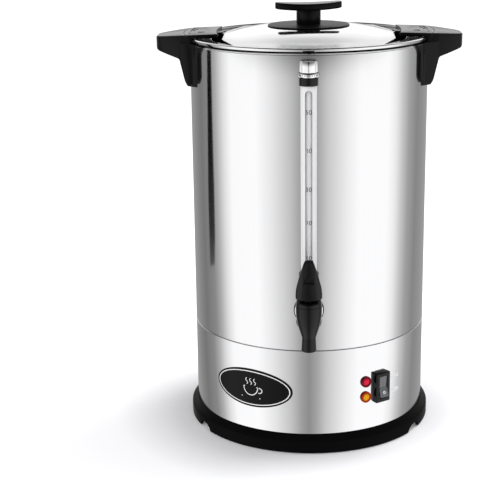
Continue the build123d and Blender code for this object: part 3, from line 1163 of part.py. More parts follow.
parts["valve_stem"] = make_valve_stem()
parts["valve_seat_cup"] = make_seat_cup()
parts["tap_spring"] = make_tap_spring()
parts["lever_pin"] = make_lever_pin()
parts["tap_lever"] = make_tap_lever()
parts["gauge_glass"] = make_gauge_glass()
parts["gauge_shield"] = make_gauge_shield()
parts["gauge_seals"] = make_gauge_seals()
parts["gauge_lower_collar"] = make_lower_collar()
parts["gauge_top_bracket"] = make_top_bracket()
parts["gauge_bracket_nut"] = make_bracket_nut()
parts["gauge_cap"] = make_gauge_cap()
parts["lid_shell"] = make_lid()
parts["lid_seal"] = make_lid_seal()
parts["knob_disc"] = make_knob_disc()
parts["knob_stem"] = make_knob_stem()
parts["knob_bar"] = make_knob_bar()
parts["knob_screw"] = make_knob_screw()
parts["percolator_foot"] = make_percolator_foot()
parts["percolator_tube"] = make_percolator_tube()
parts["coffee_basket"] = make_basket()
parts["basket_cover"] = make_basket_cover()

os.makedirs("parts", exist_ok=True)
for name, shape in parts.items():
    export_step(shape, f"parts/{name}.step")
print(len(parts), "parts")
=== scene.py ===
import math

import bmesh
import bpy
from mathutils import Matrix, Vector


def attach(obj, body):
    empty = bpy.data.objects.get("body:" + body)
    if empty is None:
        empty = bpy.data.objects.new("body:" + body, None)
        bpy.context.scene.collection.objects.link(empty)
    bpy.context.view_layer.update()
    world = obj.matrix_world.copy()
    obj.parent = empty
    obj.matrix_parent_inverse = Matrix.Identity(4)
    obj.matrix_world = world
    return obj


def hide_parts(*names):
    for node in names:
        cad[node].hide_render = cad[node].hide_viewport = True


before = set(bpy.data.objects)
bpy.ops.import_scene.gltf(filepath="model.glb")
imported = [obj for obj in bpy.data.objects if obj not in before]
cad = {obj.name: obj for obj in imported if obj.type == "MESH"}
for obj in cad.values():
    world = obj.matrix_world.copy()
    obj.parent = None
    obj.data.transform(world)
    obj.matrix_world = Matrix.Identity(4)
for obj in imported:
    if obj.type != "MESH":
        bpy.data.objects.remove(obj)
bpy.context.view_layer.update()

scene = bpy.context.scene
mm = 0.001

# -------- camera
# A long lens at counter height, looking down a little and turned slightly to the left.
eye = Vector((0, -1.2312, 0.5091))
looking_down = math.radians(15.736)
turned_left = math.radians(2.989)
leaning = math.radians(-0.875)
aim = (Matrix.Rotation(turned_left, 4, "Z") @ Matrix.Rotation(math.pi / 2 - looking_down, 4, "X")
       @ Matrix.Rotation(leaning, 4, "Z"))
camera = bpy.data.objects.new("camera", bpy.data.cameras.new("camera"))
scene.collection.objects.link(camera)
camera.matrix_world = Matrix.Translation(eye) @ aim
camera.data.lens = 95
camera.data.sensor_width = 36
scene.camera = camera
scene.view_settings.view_transform = "Standard"


# -------- studio
# A white table in a white room lights the urn evenly. Polished parts see walls of their own: below
# eye level white at both sides and grey in front and behind, and above it white only behind the urn.
def node(tree, kind, **settings):
    """A shader node; settings that are sockets get values, the others are properties."""
    made = tree.nodes.new(kind)
    for name, value in settings.items():
        socket = name.replace("_", " ")
        if socket in made.inputs:
            made.inputs[socket].default_value = value
        else:
            setattr(made, name, value)
    return made


def ramp(tree, value, stops):
    """A colour ramp with (position, grey level) stops, fed by a value."""
    made = tree.nodes.new("ShaderNodeValToRGB")
    elements = made.color_ramp.elements
    while len(elements) < len(stops):
        elements.new(0.5)
    for element, (position, grey) in zip(elements, stops):
        element.position = position
        element.color = (grey, grey, grey, 1)
    tree.links.new(value, made.inputs[0])
    return made.outputs["Color"]


def math_node(tree, operation, first, second=0.0):
    """Result of a Math node; each input is a number or a socket."""
    made = tree.nodes.new("ShaderNodeMath")
    made.operation = operation
    for socket, value in zip(made.inputs, (first, second)):
        if isinstance(value, (int, float)):
            socket.default_value = value
        else:
            tree.links.new(value, socket)
    return made.outputs[0]


def mixed(tree, factor, first, second):
    """Colour mix of two sockets or colours."""
    made = tree.nodes.new("ShaderNodeMix")
    made.data_type = "RGBA"
    for socket, value in zip((made.inputs[0], made.inputs[6], made.inputs[7]), (factor, first, second)):
        if isinstance(value, (int, float, tuple)):
            socket.default_value = value
        else:
            tree.links.new(value, socket)
    return made.outputs[2]


world = bpy.data.worlds.new("studio")
scene.world = world
world.use_nodes = True
studio = world.node_tree
studio.nodes.clear()
direction = node(studio, "ShaderNodeTexCoord")
split = node(studio, "ShaderNodeSeparateXYZ")
studio.links.new(direction.outputs["Generated"], split.inputs[0])
backwards = math_node(studio, "MULTIPLY", split.outputs[1], -1.0)
azimuth = math_node(studio, "ARCTAN2", split.outputs[0], backwards)
turn = math_node(studio, "ADD", math_node(studio, "MULTIPLY", azimuth, 1 / math.tau), 0.5)


def at_degrees(stops):
    """Ramp stops from (azimuth in degrees, grey); the tap side is 0, +X is 90."""
    return [((degrees + 180) / 360, grey) for degrees, grey in stops]


low_walls = ramp(studio, turn, at_degrees([
    (-180, 0.40), (-150, 0.30), (-128, 0.20), (-110, 0.28), (-100, 0.48), (-90, 0.84), (-80, 1.10),
    (-52, 1.12), (-36, 0.92), (-18, 0.62), (-8, 0.40), (0, 0.30), (8, 0.42), (18, 0.66), (38, 0.98),
    (50, 1.12), (82, 1.12), (92, 0.96), (101, 0.66), (112, 0.40), (128, 0.27), (160, 0.36), (180, 0.40)]))
high_walls = ramp(studio, turn, at_degrees([
    (-180, 1.15), (-142, 1.10), (-120, 0.50), (-90, 0.40), (-45, 0.25), (-22, 0.03),
    (22, 0.03), (45, 0.25), (90, 0.40), (120, 0.50), (142, 1.10), (180, 1.15)]))
dark_room = (0.01, 0.01, 0.01, 1)
upper_light = ramp(studio, split.outputs[2], [
    (0.0, 1.0), (0.36, 1.0), (0.52, 0.84), (0.62, 0.52), (0.72, 0.10), (1.0, 0.03)])
high_walls = mixed(studio, upper_light, dark_room, high_walls)
above = ramp(studio, split.outputs[2], [(0.0, 0.0), (0.09, 1.0)])
walls = mixed(studio, above, low_walls, high_walls)
rays = node(studio, "ShaderNodeLightPath")
reflected = math_node(studio, "MAXIMUM", rays.outputs["Is Glossy Ray"], rays.outputs["Is Transmission Ray"])
room_light = (0.75, 0.75, 0.76, 1)
white = (1, 1, 1, 1)
seen = mixed(studio, rays.outputs["Is Camera Ray"], mixed(studio, reflected, room_light, walls), white)
background = node(studio, "ShaderNodeBackground")
studio.links.new(seen, background.inputs["Color"])
studio.links.new(background.outputs[0], node(studio, "ShaderNodeOutputWorld").inputs[0])


def lamp(name, at, aim, width, power):
    """Square soft lamp that lights surfaces without showing in reflections."""
    light = bpy.data.lights.new(name, "AREA")
    light.size = width
    light.energy = power
    made = bpy.data.objects.new(name, light)
    scene.collection.objects.link(made)
    made.location = at
    made.rotation_euler = (Vector(aim) - Vector(at)).to_track_quat("-Z", "Y").to_euler()
    made.visible_glossy = False


lamp("key", (0.75, 0.40, 1.4), (0, 0, 0.15), 0.9, 15)
lamp("fill", (-1.3, -1.1, 0.9), (0, 0, 0.2), 1.0, 7)

table_size = 60.0
table_mesh = bmesh.new()
bmesh.ops.create_grid(table_mesh, x_segments=1, y_segments=1, size=table_size / 2)
table_data = bpy.data.meshes.new("table")
table_mesh.to_mesh(table_data)
table_mesh.free()
table = bpy.data.objects.new("table", table_data)
scene.collection.objects.link(table)
table.visible_glossy = False
white_top = bpy.data.materials.new("white_top")
white_top.use_nodes = True
top_tree = white_top.node_tree
top_tree.nodes.clear()
top_rays = node(top_tree, "ShaderNodeLightPath")
lit = node(top_tree, "ShaderNodeBsdfDiffuse", Color=(0.86, 0.86, 0.87, 1))
glow = node(top_tree, "ShaderNodeEmission", Color=white)
from_urn = node(top_tree, "ShaderNodeVectorMath", operation="LENGTH")
top_tree.links.new(node(top_tree, "ShaderNodeTexCoord").outputs["Object"], from_urn.inputs[0])
whitening = ramp(top_tree, from_urn.outputs["Value"], [(0.0, 0.03), (0.13, 0.03), (0.19, 0.30), (1.0, 0.50)])
top_tree.links.new(math_node(top_tree, "MULTIPLY", top_rays.outputs["Is Camera Ray"], whitening),
                   glow.inputs["Strength"])
both = node(top_tree, "ShaderNodeAddShader")
top_tree.links.new(lit.outputs[0], both.inputs[0])
top_tree.links.new(glow.outputs[0], both.inputs[1])
top_tree.links.new(both.outputs[0], node(top_tree, "ShaderNodeOutputMaterial").inputs[0])
table_data.materials.append(white_top)


def card(name, left, right, corners, shades):
    """An upright card seen only in polished parts. Its corners are (share of the way from left to
    right on the floor, height), and its (height, grey) shades run from its foot to its top."""
    mesh = bmesh.new()
    run = Vector(right) - Vector(left)
    mesh.faces.new([mesh.verts.new((*(Vector(left) + run * share), height)) for share, height in corners])
    data = bpy.data.meshes.new(name)
    mesh.to_mesh(data)
    mesh.free()
    made = bpy.data.objects.new(name, data)
    scene.collection.objects.link(made)
    made.visible_camera = False
    made.visible_diffuse = False
    made.visible_shadow = False
    paper = bpy.data.materials.new(name)
    paper.use_nodes = True
    tree = paper.node_tree
    tree.nodes.clear()
    height = node(tree, "ShaderNodeSeparateXYZ")
    tree.links.new(node(tree, "ShaderNodeNewGeometry").outputs["Position"], height.inputs[0])
    shade = node(tree, "ShaderNodeEmission", Strength=1.0)
    tree.links.new(ramp(tree, height.outputs[2], shades), shade.inputs["Color"])
    tree.links.new(shade.outputs[0], node(tree, "ShaderNodeOutputMaterial").inputs[0])
    data.materials.append(paper)


# This card makes the dark streak down the left of the tank.
card("dark_card", (-0.386, 0.147), (-0.414, 0.080), [
    (1.08, 0.36), (0.93, 0.26), (0.68, 0.14), (0.62, 0.04),
    (1.40, 0.04), (1.62, 0.08), (1.72, 0.15), (1.71, 0.36)],
    [(0.04, 0.09), (0.09, 0.034), (0.20, 0.010), (0.29, 0.001)])


# -------- tank
# The pot is drawn from polished stainless sheet. Its rim is rolled outwards over a narrow groove,
# and inside the rim a flat polished seat carries the lid. A well in the floor takes the pump.
def finished(name, mesh, crease=35):
    """Object from a bmesh, smooth except where faces meet at more than the crease angle."""
    data = bpy.data.meshes.new(name)
    mesh.to_mesh(data)
    mesh.free()
    data.shade_smooth()
    data.set_sharp_from_angle(angle=math.radians(crease))
    piece = bpy.data.objects.new(name, data)
    scene.collection.objects.link(piece)
    return piece


def turned(name, outline, steps=192, x=0.0, y=0.0, crease=35):
    """Solid of revolution from a closed outline of (radius, height, corner rounding) in millimetres."""
    mesh = bmesh.new()
    corners = [mesh.verts.new((r * mm, 0, z * mm)) for r, z, rounding in outline]
    mesh.faces.new(corners)
    for corner, (r, z, rounding) in zip(corners, outline):
        if rounding:
            bmesh.ops.bevel(mesh, geom=[corner], offset=rounding * mm, segments=4, profile=0.5,
                            affect="VERTICES", material=-1)
    bmesh.ops.delete(mesh, geom=mesh.faces[:], context="FACES_ONLY")
    on_axis = [e for e in mesh.edges if all(abs(v.co.x) < 1e-7 for v in e.verts)]
    bmesh.ops.delete(mesh, geom=on_axis, context="EDGES")
    bmesh.ops.spin(mesh, geom=mesh.edges[:], cent=(0, 0, 0), axis=(0, 0, 1), angle=math.tau,
                   steps=steps, use_merge=True)
    bmesh.ops.remove_doubles(mesh, verts=mesh.verts[:], dist=1e-6)
    bmesh.ops.dissolve_degenerate(mesh, edges=mesh.edges[:], dist=1e-7)
    bmesh.ops.recalc_face_normals(mesh, faces=mesh.faces[:])
    bmesh.ops.translate(mesh, verts=mesh.verts[:], vec=(x * mm, y * mm, 0))
    return finished(name, mesh, crease)


def from_axis(tree):
    """Sockets with a surface point's distance from the urn's axis and its height, in metres."""
    place = node(tree, "ShaderNodeTexCoord").outputs["Object"]
    flat = node(tree, "ShaderNodeVectorMath", operation="MULTIPLY")
    flat.inputs[1].default_value = (1, 1, 0)
    tree.links.new(place, flat.inputs[0])
    length = node(tree, "ShaderNodeVectorMath", operation="LENGTH")
    tree.links.new(flat.outputs[0], length.inputs[0])
    parted = node(tree, "ShaderNodeSeparateXYZ")
    tree.links.new(place, parted.inputs[0])
    return length.outputs["Value"], parted.outputs[2]


def surface(name, colour, roughness, metallic=0.0, grain=300, rough_spread=0.05,
            shade_spread=0.06, bump=0.0, rings=False, **shader):
    """Material with a fine grain that varies its colour, roughness and height. The grain is counted
    per metre, one number or one for each axis, or outwards from the Z axis with rings."""
    made = bpy.data.materials.new(name)
    made.use_nodes = True
    tree = made.node_tree
    bsdf = tree.nodes["Principled BSDF"]
    place = node(tree, "ShaderNodeTexCoord").outputs["Object"]
    if rings:
        joined = node(tree, "ShaderNodeCombineXYZ")
        for socket, value in zip((joined.inputs[0], joined.inputs[2]), from_axis(tree)):
            tree.links.new(value, socket)
        place = joined.outputs[0]
    scaled = node(tree, "ShaderNodeMapping")
    scaled.inputs["Scale"].default_value = grain if isinstance(grain, tuple) else (grain,) * 3
    tree.links.new(place, scaled.inputs["Vector"])
    noise = node(tree, "ShaderNodeTexNoise", Scale=1.0, Detail=3.0)
    tree.links.new(scaled.outputs[0], noise.inputs["Vector"])
    level = noise.outputs["Fac"]
    rough = node(tree, "ShaderNodeMapRange")
    rough.inputs["To Min"].default_value = max(0.02, roughness - rough_spread)
    rough.inputs["To Max"].default_value = roughness + rough_spread
    tree.links.new(level, rough.inputs["Value"])
    tree.links.new(rough.outputs[0], bsdf.inputs["Roughness"])
    dark = tuple(c * (1 - shade_spread) for c in colour) + (1,)
    pale = tuple(min(1, c * (1 + shade_spread)) for c in colour) + (1,)
    tree.links.new(mixed(tree, level, dark, pale), bsdf.inputs["Base Color"])
    bsdf.inputs["Metallic"].default_value = metallic
    if bump:
        relief = node(tree, "ShaderNodeBump", Strength=1.0, Distance=bump * mm)
        tree.links.new(level, relief.inputs["Height"])
        tree.links.new(relief.outputs[0], bsdf.inputs["Normal"])
    for socket, value in shader.items():
        bsdf.inputs[socket.replace("_", " ")].default_value = value
    return made


def assembled(piece, material, body, slot, *stands_for):
    """Gives a piece its material and its place in the frame."""
    piece.data.materials.clear()
    piece.data.materials.append(material)
    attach(piece, body)
    if stands_for:
        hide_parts(*stands_for)


bright_steel = {"colour": (0.87, 0.87, 0.88), "roughness": 0.085, "metallic": 1.0, "grain": (420, 420, 5),
                "rough_spread": 0.03, "shade_spread": 0.012, "bump": 0.0006}
polished_steel = surface("polished_steel", **bright_steel)

# Painted shade: the steel's colour turns near black in a band round the groove under the rolled rim, standing
# in for the shadow there.
line_height, line_half_width, wall_inside = 366.0 * mm, 0.95 * mm, 109.3 * mm
groove_shade_colour = (0.012, 0.012, 0.012, 1)
rim_tree = polished_steel.node_tree
steel = rim_tree.nodes["Principled BSDF"].inputs["Base Color"]
rim_radius, rim_height = from_axis(rim_tree)
under_rim = math_node(rim_tree, "COMPARE", rim_height, line_height)
under_rim.node.inputs[2].default_value = line_half_width
outside = math_node(rim_tree, "GREATER_THAN", rim_radius, wall_inside)
groove_shade_mask = math_node(rim_tree, "MULTIPLY", under_rim, outside)
# painted shade: the steel colour in the groove band is mixed to near black
rim_tree.links.new(mixed(rim_tree, groove_shade_mask, steel.links[0].from_socket, groove_shade_colour), steel)
tank = turned("tank_pot", [
    (110.0, 98.6, 0.35), (110.0, 363.9, 0.3), (109.4, 364.1, 0), (109.4, 364.5, 0), (109.85, 365.1, 0),
    (110.25, 365.9, 0), (110.65, 367.1, 0), (110.8, 368.1, 0), (110.8, 369.65, 0.9),
    (106.6, 369.65, 1.7), (106.6, 366.7, 0.3), (90.0, 366.7, 0.7), (90.0, 363.5, 0), (90.8, 363.5, 0),
    (90.8, 365.9, 0), (108.6, 365.9, 0), (109.2, 365.0, 0), (109.2, 103.0, 3.0), (24.0, 103.0, 1.0),
    (24.0, 94.0, 2.0), (0, 94.0, 0), (0, 93.2, 0), (24.8, 93.2, 2.0), (24.8, 102.2, 0.5),
    (109.2, 102.2, 0), (109.2, 98.6, 0)], steps=256)
assembled(tank, polished_steel, "urn", "polished_stainless", "tank")


# -------- lower band
# A plain cylinder of the same sheet hides the heaters. Its top edge turns in under the tank with
# an open seam, and it is pierced for the switch and the power inlet; no holes are cut for the two lamps.
def wall(angle, height, radius=110.0):
    """Frame on the urn's side: x to the right along the wall, y up, z outwards."""
    a = math.radians(angle)
    across = Vector((math.cos(a), math.sin(a), 0))
    outwards = Vector((math.sin(a), -math.cos(a), 0))
    turn_to_wall = Matrix((across, Vector((0, 0, 1)), outwards)).transposed().to_4x4()
    return Matrix.Translation(outwards * radius * mm + Vector((0, 0, height * mm))) @ turn_to_wall


def boxed(name, width, height, depth, matrix, bevel=0.0, middle=(0, 0, 0)):
    """Box with rounded edges, sizes and middle in millimetres in the frame of a matrix."""
    mesh = bmesh.new()
    bmesh.ops.create_cube(mesh, size=1.0)
    bmesh.ops.scale(mesh, verts=mesh.verts[:], vec=Vector((width, height, depth)) * mm)
    if bevel:
        bmesh.ops.bevel(mesh, geom=mesh.edges[:], offset=bevel * mm, segments=3, profile=0.5,
                        affect="EDGES", material=-1)
    bmesh.ops.translate(mesh, verts=mesh.verts[:], vec=Vector(middle) * mm)
    bmesh.ops.transform(mesh, matrix=matrix, verts=mesh.verts[:])
    return finished(name, mesh)


def applied(piece, crease=35):
    """Turns a piece's modifiers into mesh, smooth up to the crease angle."""
    graph = bpy.context.evaluated_depsgraph_get()
    result = bpy.data.meshes.new_from_object(piece.evaluated_get(graph))
    piece.modifiers.clear()
    piece.data = result
    result.shade_smooth()
    result.set_sharp_from_angle(angle=math.radians(crease))
    return piece


def combine(piece, tool, operation="DIFFERENCE", crease=35):
    """Cuts or joins one closed mesh with another; the result stays in the piece's mesh."""
    step = piece.modifiers.new("combine", "BOOLEAN")
    step.object = tool
    step.operation = operation
    step.solver = "EXACT"
    applied(piece, crease)
    bpy.data.objects.remove(tool)
    return piece


switch_at = wall(36.6, 56.3)
inlet_at = wall(180, 52.0)
lamp_places = {"red": wall(28.2, 63.6), "amber": wall(28.2, 48.7)}
band = turned("band_shell", [
    (110.0, 12.8, 0.2), (110.0, 97.9, 0.45), (108.9, 97.9, 0.3), (108.9, 101.4, 0.2), (108.1, 101.4, 0.2),
    (108.1, 97.0, 0.3), (109.2, 97.0, 0), (109.2, 12.8, 0)], steps=256)
combine(band, boxed("switch_hole", 12.0, 24.6, 30, switch_at))
combine(band, boxed("inlet_hole", 27.5, 20.0, 30, inlet_at))
assembled(band, polished_steel, "urn", "polished_stainless", "lower_band")


# -------- base ring
# One black moulding: skirt, sloping shoulder with a groove for the band, and an inner web with
# bosses for the foot screws. Drain notches are moulded in its lower edge.
def thickened(mesh, faces, depth):
    """Carries flat faces along Z into a closed body, depth in millimetres."""
    carried = bmesh.ops.extrude_face_region(mesh, geom=faces)["geom"]
    bmesh.ops.translate(mesh, verts=[v for v in carried if isinstance(v, bmesh.types.BMVert)],
                        vec=(0, 0, depth * mm))


def block_of(name, corners, depth, matrix, segments=6):
    """Closed prism: an outline of (across, up, rounding) in millimetres, carried out to a depth.
    The outline lies in the matrix's XY plane and the depth runs along its Z, from zero."""
    mesh = bmesh.new()
    verts = [mesh.verts.new((x * mm, y * mm, 0)) for x, y, rounding in corners]
    mesh.faces.new(verts)
    for vert, (x, y, rounding) in zip(verts, corners):
        if rounding:
            bmesh.ops.bevel(mesh, geom=[vert], offset=rounding * mm, segments=segments, profile=0.5,
                            affect="VERTICES", material=-1)
    bmesh.ops.remove_doubles(mesh, verts=mesh.verts[:], dist=1e-6)
    thickened(mesh, mesh.faces[:], depth)
    bmesh.ops.recalc_face_normals(mesh, faces=mesh.faces[:])
    bmesh.ops.transform(mesh, matrix=matrix, verts=mesh.verts[:])
    return finished(name, mesh)


def dress(material, *names):
    """Gives CAD pieces that keep their own shape a finish."""
    for name in names:
        for slot in cad[name].material_slots:
            slot.material = material


jet = (0.0035, 0.0035, 0.0038)
black_moulding = surface("black_moulding", jet, 0.20, grain=1500,
                         rough_spread=0.04, shade_spread=0.15, bump=0.003, Specular_IOR_Level=0.12,
                         Sheen_Weight=0.03, Sheen_Roughness=0.3)
base_black = surface("base_black", jet, 0.30, grain=1300,
                     rough_spread=0.05, shade_spread=0.15, bump=0.004, Specular_IOR_Level=0.02)
skirt = turned("base_skirt", [
    (115.9, 0.5, 0.5), (115.9, 11.75, 1.2), (110.15, 17.35, 0.5), (110.15, 12.7, 0.2), (109.05, 12.7, 0.2),
    (109.05, 17.35, 0.4), (106.35, 17.35, 0.4), (106.35, 12.6, 0.6), (84.0, 12.6, 0.5), (84.0, 10.0, 0.5),
    (113.2, 10.0, 0.8), (113.2, 0.5, 0.4)], steps=240)
notch = [(-10.75, -2, 0), (-10.75, 0, 0), (-9.6, 3.2, 1.2), (-4.1, 6.2, 1.5), (6.2, 6.2, 1.5), (9.9, 0, 0),
         (9.9, -2, 0)]
for angle, hand in ((59.8, 1), (239.8, 1), (-59.8, -1), (120.2, -1)):
    combine(skirt, block_of("drain_cut", [(hand * x, y, r) for x, y, r in notch], 14, wall(angle, 0.5, 108)))
for quarter in range(4):
    a = math.radians(45 + 90 * quarter)
    boss = turned("screw_boss", [(2.0, 12.5, 0), (5.0, 12.5, 0), (5.0, 24.0, 0.5), (2.0, 24.0, 0.2)], 32,
                  94 * math.cos(a), 94 * math.sin(a))
    combine(skirt, boss, "UNION")
assembled(skirt, base_black, "urn", "black_moulding", "base_ring")

# -------- underside
# A zinc-plated plate with cooling slots closes the base. It is held up by nuts on three studs that
# are welded to the tank, and four rubber feet are screwed through it into the ring.
zinc_plate = surface("zinc_plate", (0.60, 0.61, 0.62), 0.34, metallic=1.0, grain=180,
                     rough_spread=0.10, shade_spread=0.10, bump=0.01)
foot_rubber = surface("foot_rubber", (0.028, 0.028, 0.028), 0.72, grain=2200,
                      shade_spread=0.2, bump=0.02)
dress(zinc_plate, "bottom_plate", "base_screws", "tie_studs", "tie_nuts")
dress(foot_rubber, "rubber_feet")

# -------- heating
# A cast aluminium disc under the well drives the percolator, and a flat ring keeps the coffee warm.
# A bimetal thermostat, a dry-boil cutout and a thermal fuse are clamped under the floor.
cast_aluminium = surface("cast_aluminium", (0.70, 0.71, 0.72), 0.48, metallic=1.0, grain=700,
                         rough_spread=0.12, shade_spread=0.14, bump=0.03)
glazed_ceramic = surface("glazed_ceramic", (0.84, 0.82, 0.77), 0.22, grain=260,
                         shade_spread=0.05, bump=0.012)
wire_sleeve = surface("wire_sleeve", (0.52, 0.50, 0.46), 0.66, grain=3500,
                      shade_spread=0.22, bump=0.06)
dress(cast_aluminium, "pump_heater", "keep_warm_element")
dress(zinc_plate, "heater_clamp", "clamp_studs", "clamp_nuts", "thermal_fuse")
dress(black_moulding, "brew_thermostat", "dry_boil_cutout")
dress(glazed_ceramic, "terminal_block")
dress(wire_sleeve, "inside_wires")

# -------- power inlet
# A recessed three-pin appliance inlet in the back of the band, moulded in black with brass pins
# and held by two screws with nuts inside.
brass = surface("brass", (0.72, 0.56, 0.28), 0.24, metallic=1.0, grain=(900, 900, 200), rough_spread=0.06,
                bump=0.004)


def dressed_copy(name, copy_name, bevel):
    """A copy of a CAD piece, merged, flattened where it is flat, with its sharp edges rounded."""
    mesh = bmesh.new()
    mesh.from_mesh(cad[name].data)
    bmesh.ops.remove_doubles(mesh, verts=mesh.verts[:], dist=1e-6)
    bmesh.ops.dissolve_limit(mesh, angle_limit=math.radians(1), verts=mesh.verts[:], edges=mesh.edges[:])
    sharp = [e for e in mesh.edges if e.is_manifold and e.calc_face_angle() > math.radians(35)]
    bmesh.ops.bevel(mesh, geom=sharp, offset=bevel * mm, segments=3, profile=0.5, affect="EDGES",
                    clamp_overlap=True, material=-1)
    return finished(copy_name, mesh)


inlet = dressed_copy("power_inlet", "inlet_moulding", 0.35)
assembled(inlet, black_moulding, "urn", "black_moulding", "power_inlet")
dress(brass, "inlet_pins")
dress(zinc_plate, "inlet_screws", "inlet_nuts")

# -------- switch
# A rocker of smoky clear plastic tips between the cheeks of a black bezel. ON and OFF are printed
# in white on the band beside it.
black_gloss = surface("black_gloss", (0.0025, 0.0025, 0.0028), 0.12, grain=60, rough_spread=0.03,
                      shade_spread=0.15, bump=0.0015, Specular_IOR_Level=0.30)


def plain_ring(name, inner, outer, low, high, steps, y=0.0, crease=35):
    """Square-edged ring, or disc without an inner radius, in millimetres."""
    outline = [(inner, low, 0), (outer, low, 0), (outer, high, 0), (inner, high, 0)]
    return turned(name, outline, steps, 0, y, crease)


bezel = boxed("switch_bezel", 16, 28.6, 8, switch_at, bevel=0.9, middle=(0, 0, 1.0))
combine(bezel, plain_ring("band_core", 0, 110, 20, 95, 256))
combine(bezel, boxed("switch_body", 11.6, 24.2, 24, switch_at, bevel=0.3, middle=(0, 0, -9.2)), "UNION")
combine(bezel, boxed("rocker_well", 9.2, 21.8, 13.2, switch_at, bevel=0.3, middle=(0, 0, -1.5)))
for up in (-6, 6):
    combine(bezel, boxed("switch_tag", 0.8, 4.8, 7, switch_at, middle=(0, up, -24)), "UNION")
assembled(bezel, black_gloss, "urn", "black_gloss", "switch_frame")

smoke_plastic = surface("smoke_plastic", (0.115, 0.118, 0.125), 0.16, grain=(900, 900, 30),
                        rough_spread=0.05, shade_spread=0.9, bump=0.01, Specular_IOR_Level=0.6,
                        Coat_Weight=0.5, Coat_Roughness=0.08)
rocker_at = switch_at @ Matrix.Translation((0, 0, 0.5 * mm)) @ Matrix.Rotation(math.radians(-9), 4, "X")
side_view = Matrix(((0, 0, 1, 0), (1, 0, 0, 0), (0, 1, 0, 0), (0, 0, 0, 1)))
rocker = block_of("rocker", [(-10.1, 5.6, 0.8), (0, 3.5, 0.6), (10.1, 5.6, 0.8), (10.1, 1.9, 0.6),
                             (6.0, -3.2, 0.5), (-6.0, -3.2, 0.5)], 8.7,
                  rocker_at @ Matrix.Translation((-4.35 * mm, 0, 0)) @ side_view)
for end in (-1, 1):
    pin = turned("rocker_pin", [(0, 0, 0), (1.2, 0, 0), (1.2, 1.15, 0.2), (0, 1.15, 0)], 24)
    pin.data.transform(rocker_at @ Matrix.Translation((4.3 * end * mm, 0, 0))
                       @ Matrix.Rotation(math.radians(90 * end), 4, "Y"))
    combine(rocker, pin, "UNION")
assembled(rocker, smoke_plastic, "rocker", "smoke_plastic", "switch_rocker")

white_print = surface("white_print", (0.94, 0.94, 0.94), 0.45, grain=2500, shade_spread=0.04,
                      bump=0.002)


capital_share = 0.70  # capital height over type size


def lettering(name, text, height, thick, bold=0.0):
    """Flat text as a mesh, centred; capital height, thickness and widened strokes in millimetres."""
    curve = bpy.data.curves.new(name, "FONT")
    curve.body = text
    curve.align_x = "CENTER"
    curve.align_y = "CENTER"
    curve.size = height / capital_share * mm
    curve.extrude = thick / 2 * mm
    curve.offset = bold * mm
    curve.resolution_u = 4
    written = bpy.data.objects.new(name, curve)
    scene.collection.objects.link(written)
    data = bpy.data.meshes.new_from_object(written.evaluated_get(bpy.context.evaluated_depsgraph_get()))
    bpy.data.objects.remove(written)
    mesh = bmesh.new()
    mesh.from_mesh(data)
    bmesh.ops.remove_doubles(mesh, verts=mesh.verts[:], dist=1e-6)
    bmesh.ops.recalc_face_normals(mesh, faces=mesh.faces[:])
    return mesh


def wrapped(name, mesh, angle, height, radius, x=0.0, y=0.0):
    """Bends a flat mesh round an upright cylinder of the given radius and axis, in millimetres."""
    for vert in mesh.verts:
        across, up, out = vert.co
        a = math.radians(angle) + across / (radius * mm)
        reach = radius * mm + out
        vert.co = (x * mm + reach * math.sin(a), y * mm - reach * math.cos(a), height * mm + up)
    return finished(name, mesh)


for word, place, up in (("ON", 46.2, 61.7), ("OFF", 46.6, 47.6)):
    letters = wrapped("print_" + word.lower(), lettering(word, word, 4.2, 0.08, 0.12), place, up, 110.02)
    assembled(letters, white_print, "urn", "white_plastic")
dot = plain_ring("rocker_mark", 0.8, 1.35, 0, 0.1, 32)
dot.data.transform(rocker_at @ Matrix.Translation((0.2 * mm, -5.6 * mm, 4.62 * mm))
                   @ Matrix.Rotation(math.radians(-11.8), 4, "X"))
assembled(dot, white_print, "rocker", "white_plastic")

# -------- pilot lamps
# Two push-in lamps, amber below for brewing and red above for ready. Each has a domed lens with a
# flange in a thin black bezel, and a plain barrel behind. The flanges are painted in darker copies
# of the lens colours: painted shade, so that the domes look lit from behind.
lens_look = {"grain": 500, "shade_spread": 0.25, "bump": 0.004, "Specular_IOR_Level": 0.12}
red_lens = surface("red_lens", (0.78, 0.010, 0.050), 0.16, Coat_Weight=0.15, Coat_Roughness=0.04, **lens_look)
amber_lens = surface("amber_lens", (0.95, 0.40, 0.004), 0.16, Coat_Weight=0.15, Coat_Roughness=0.04,
                     **lens_look)
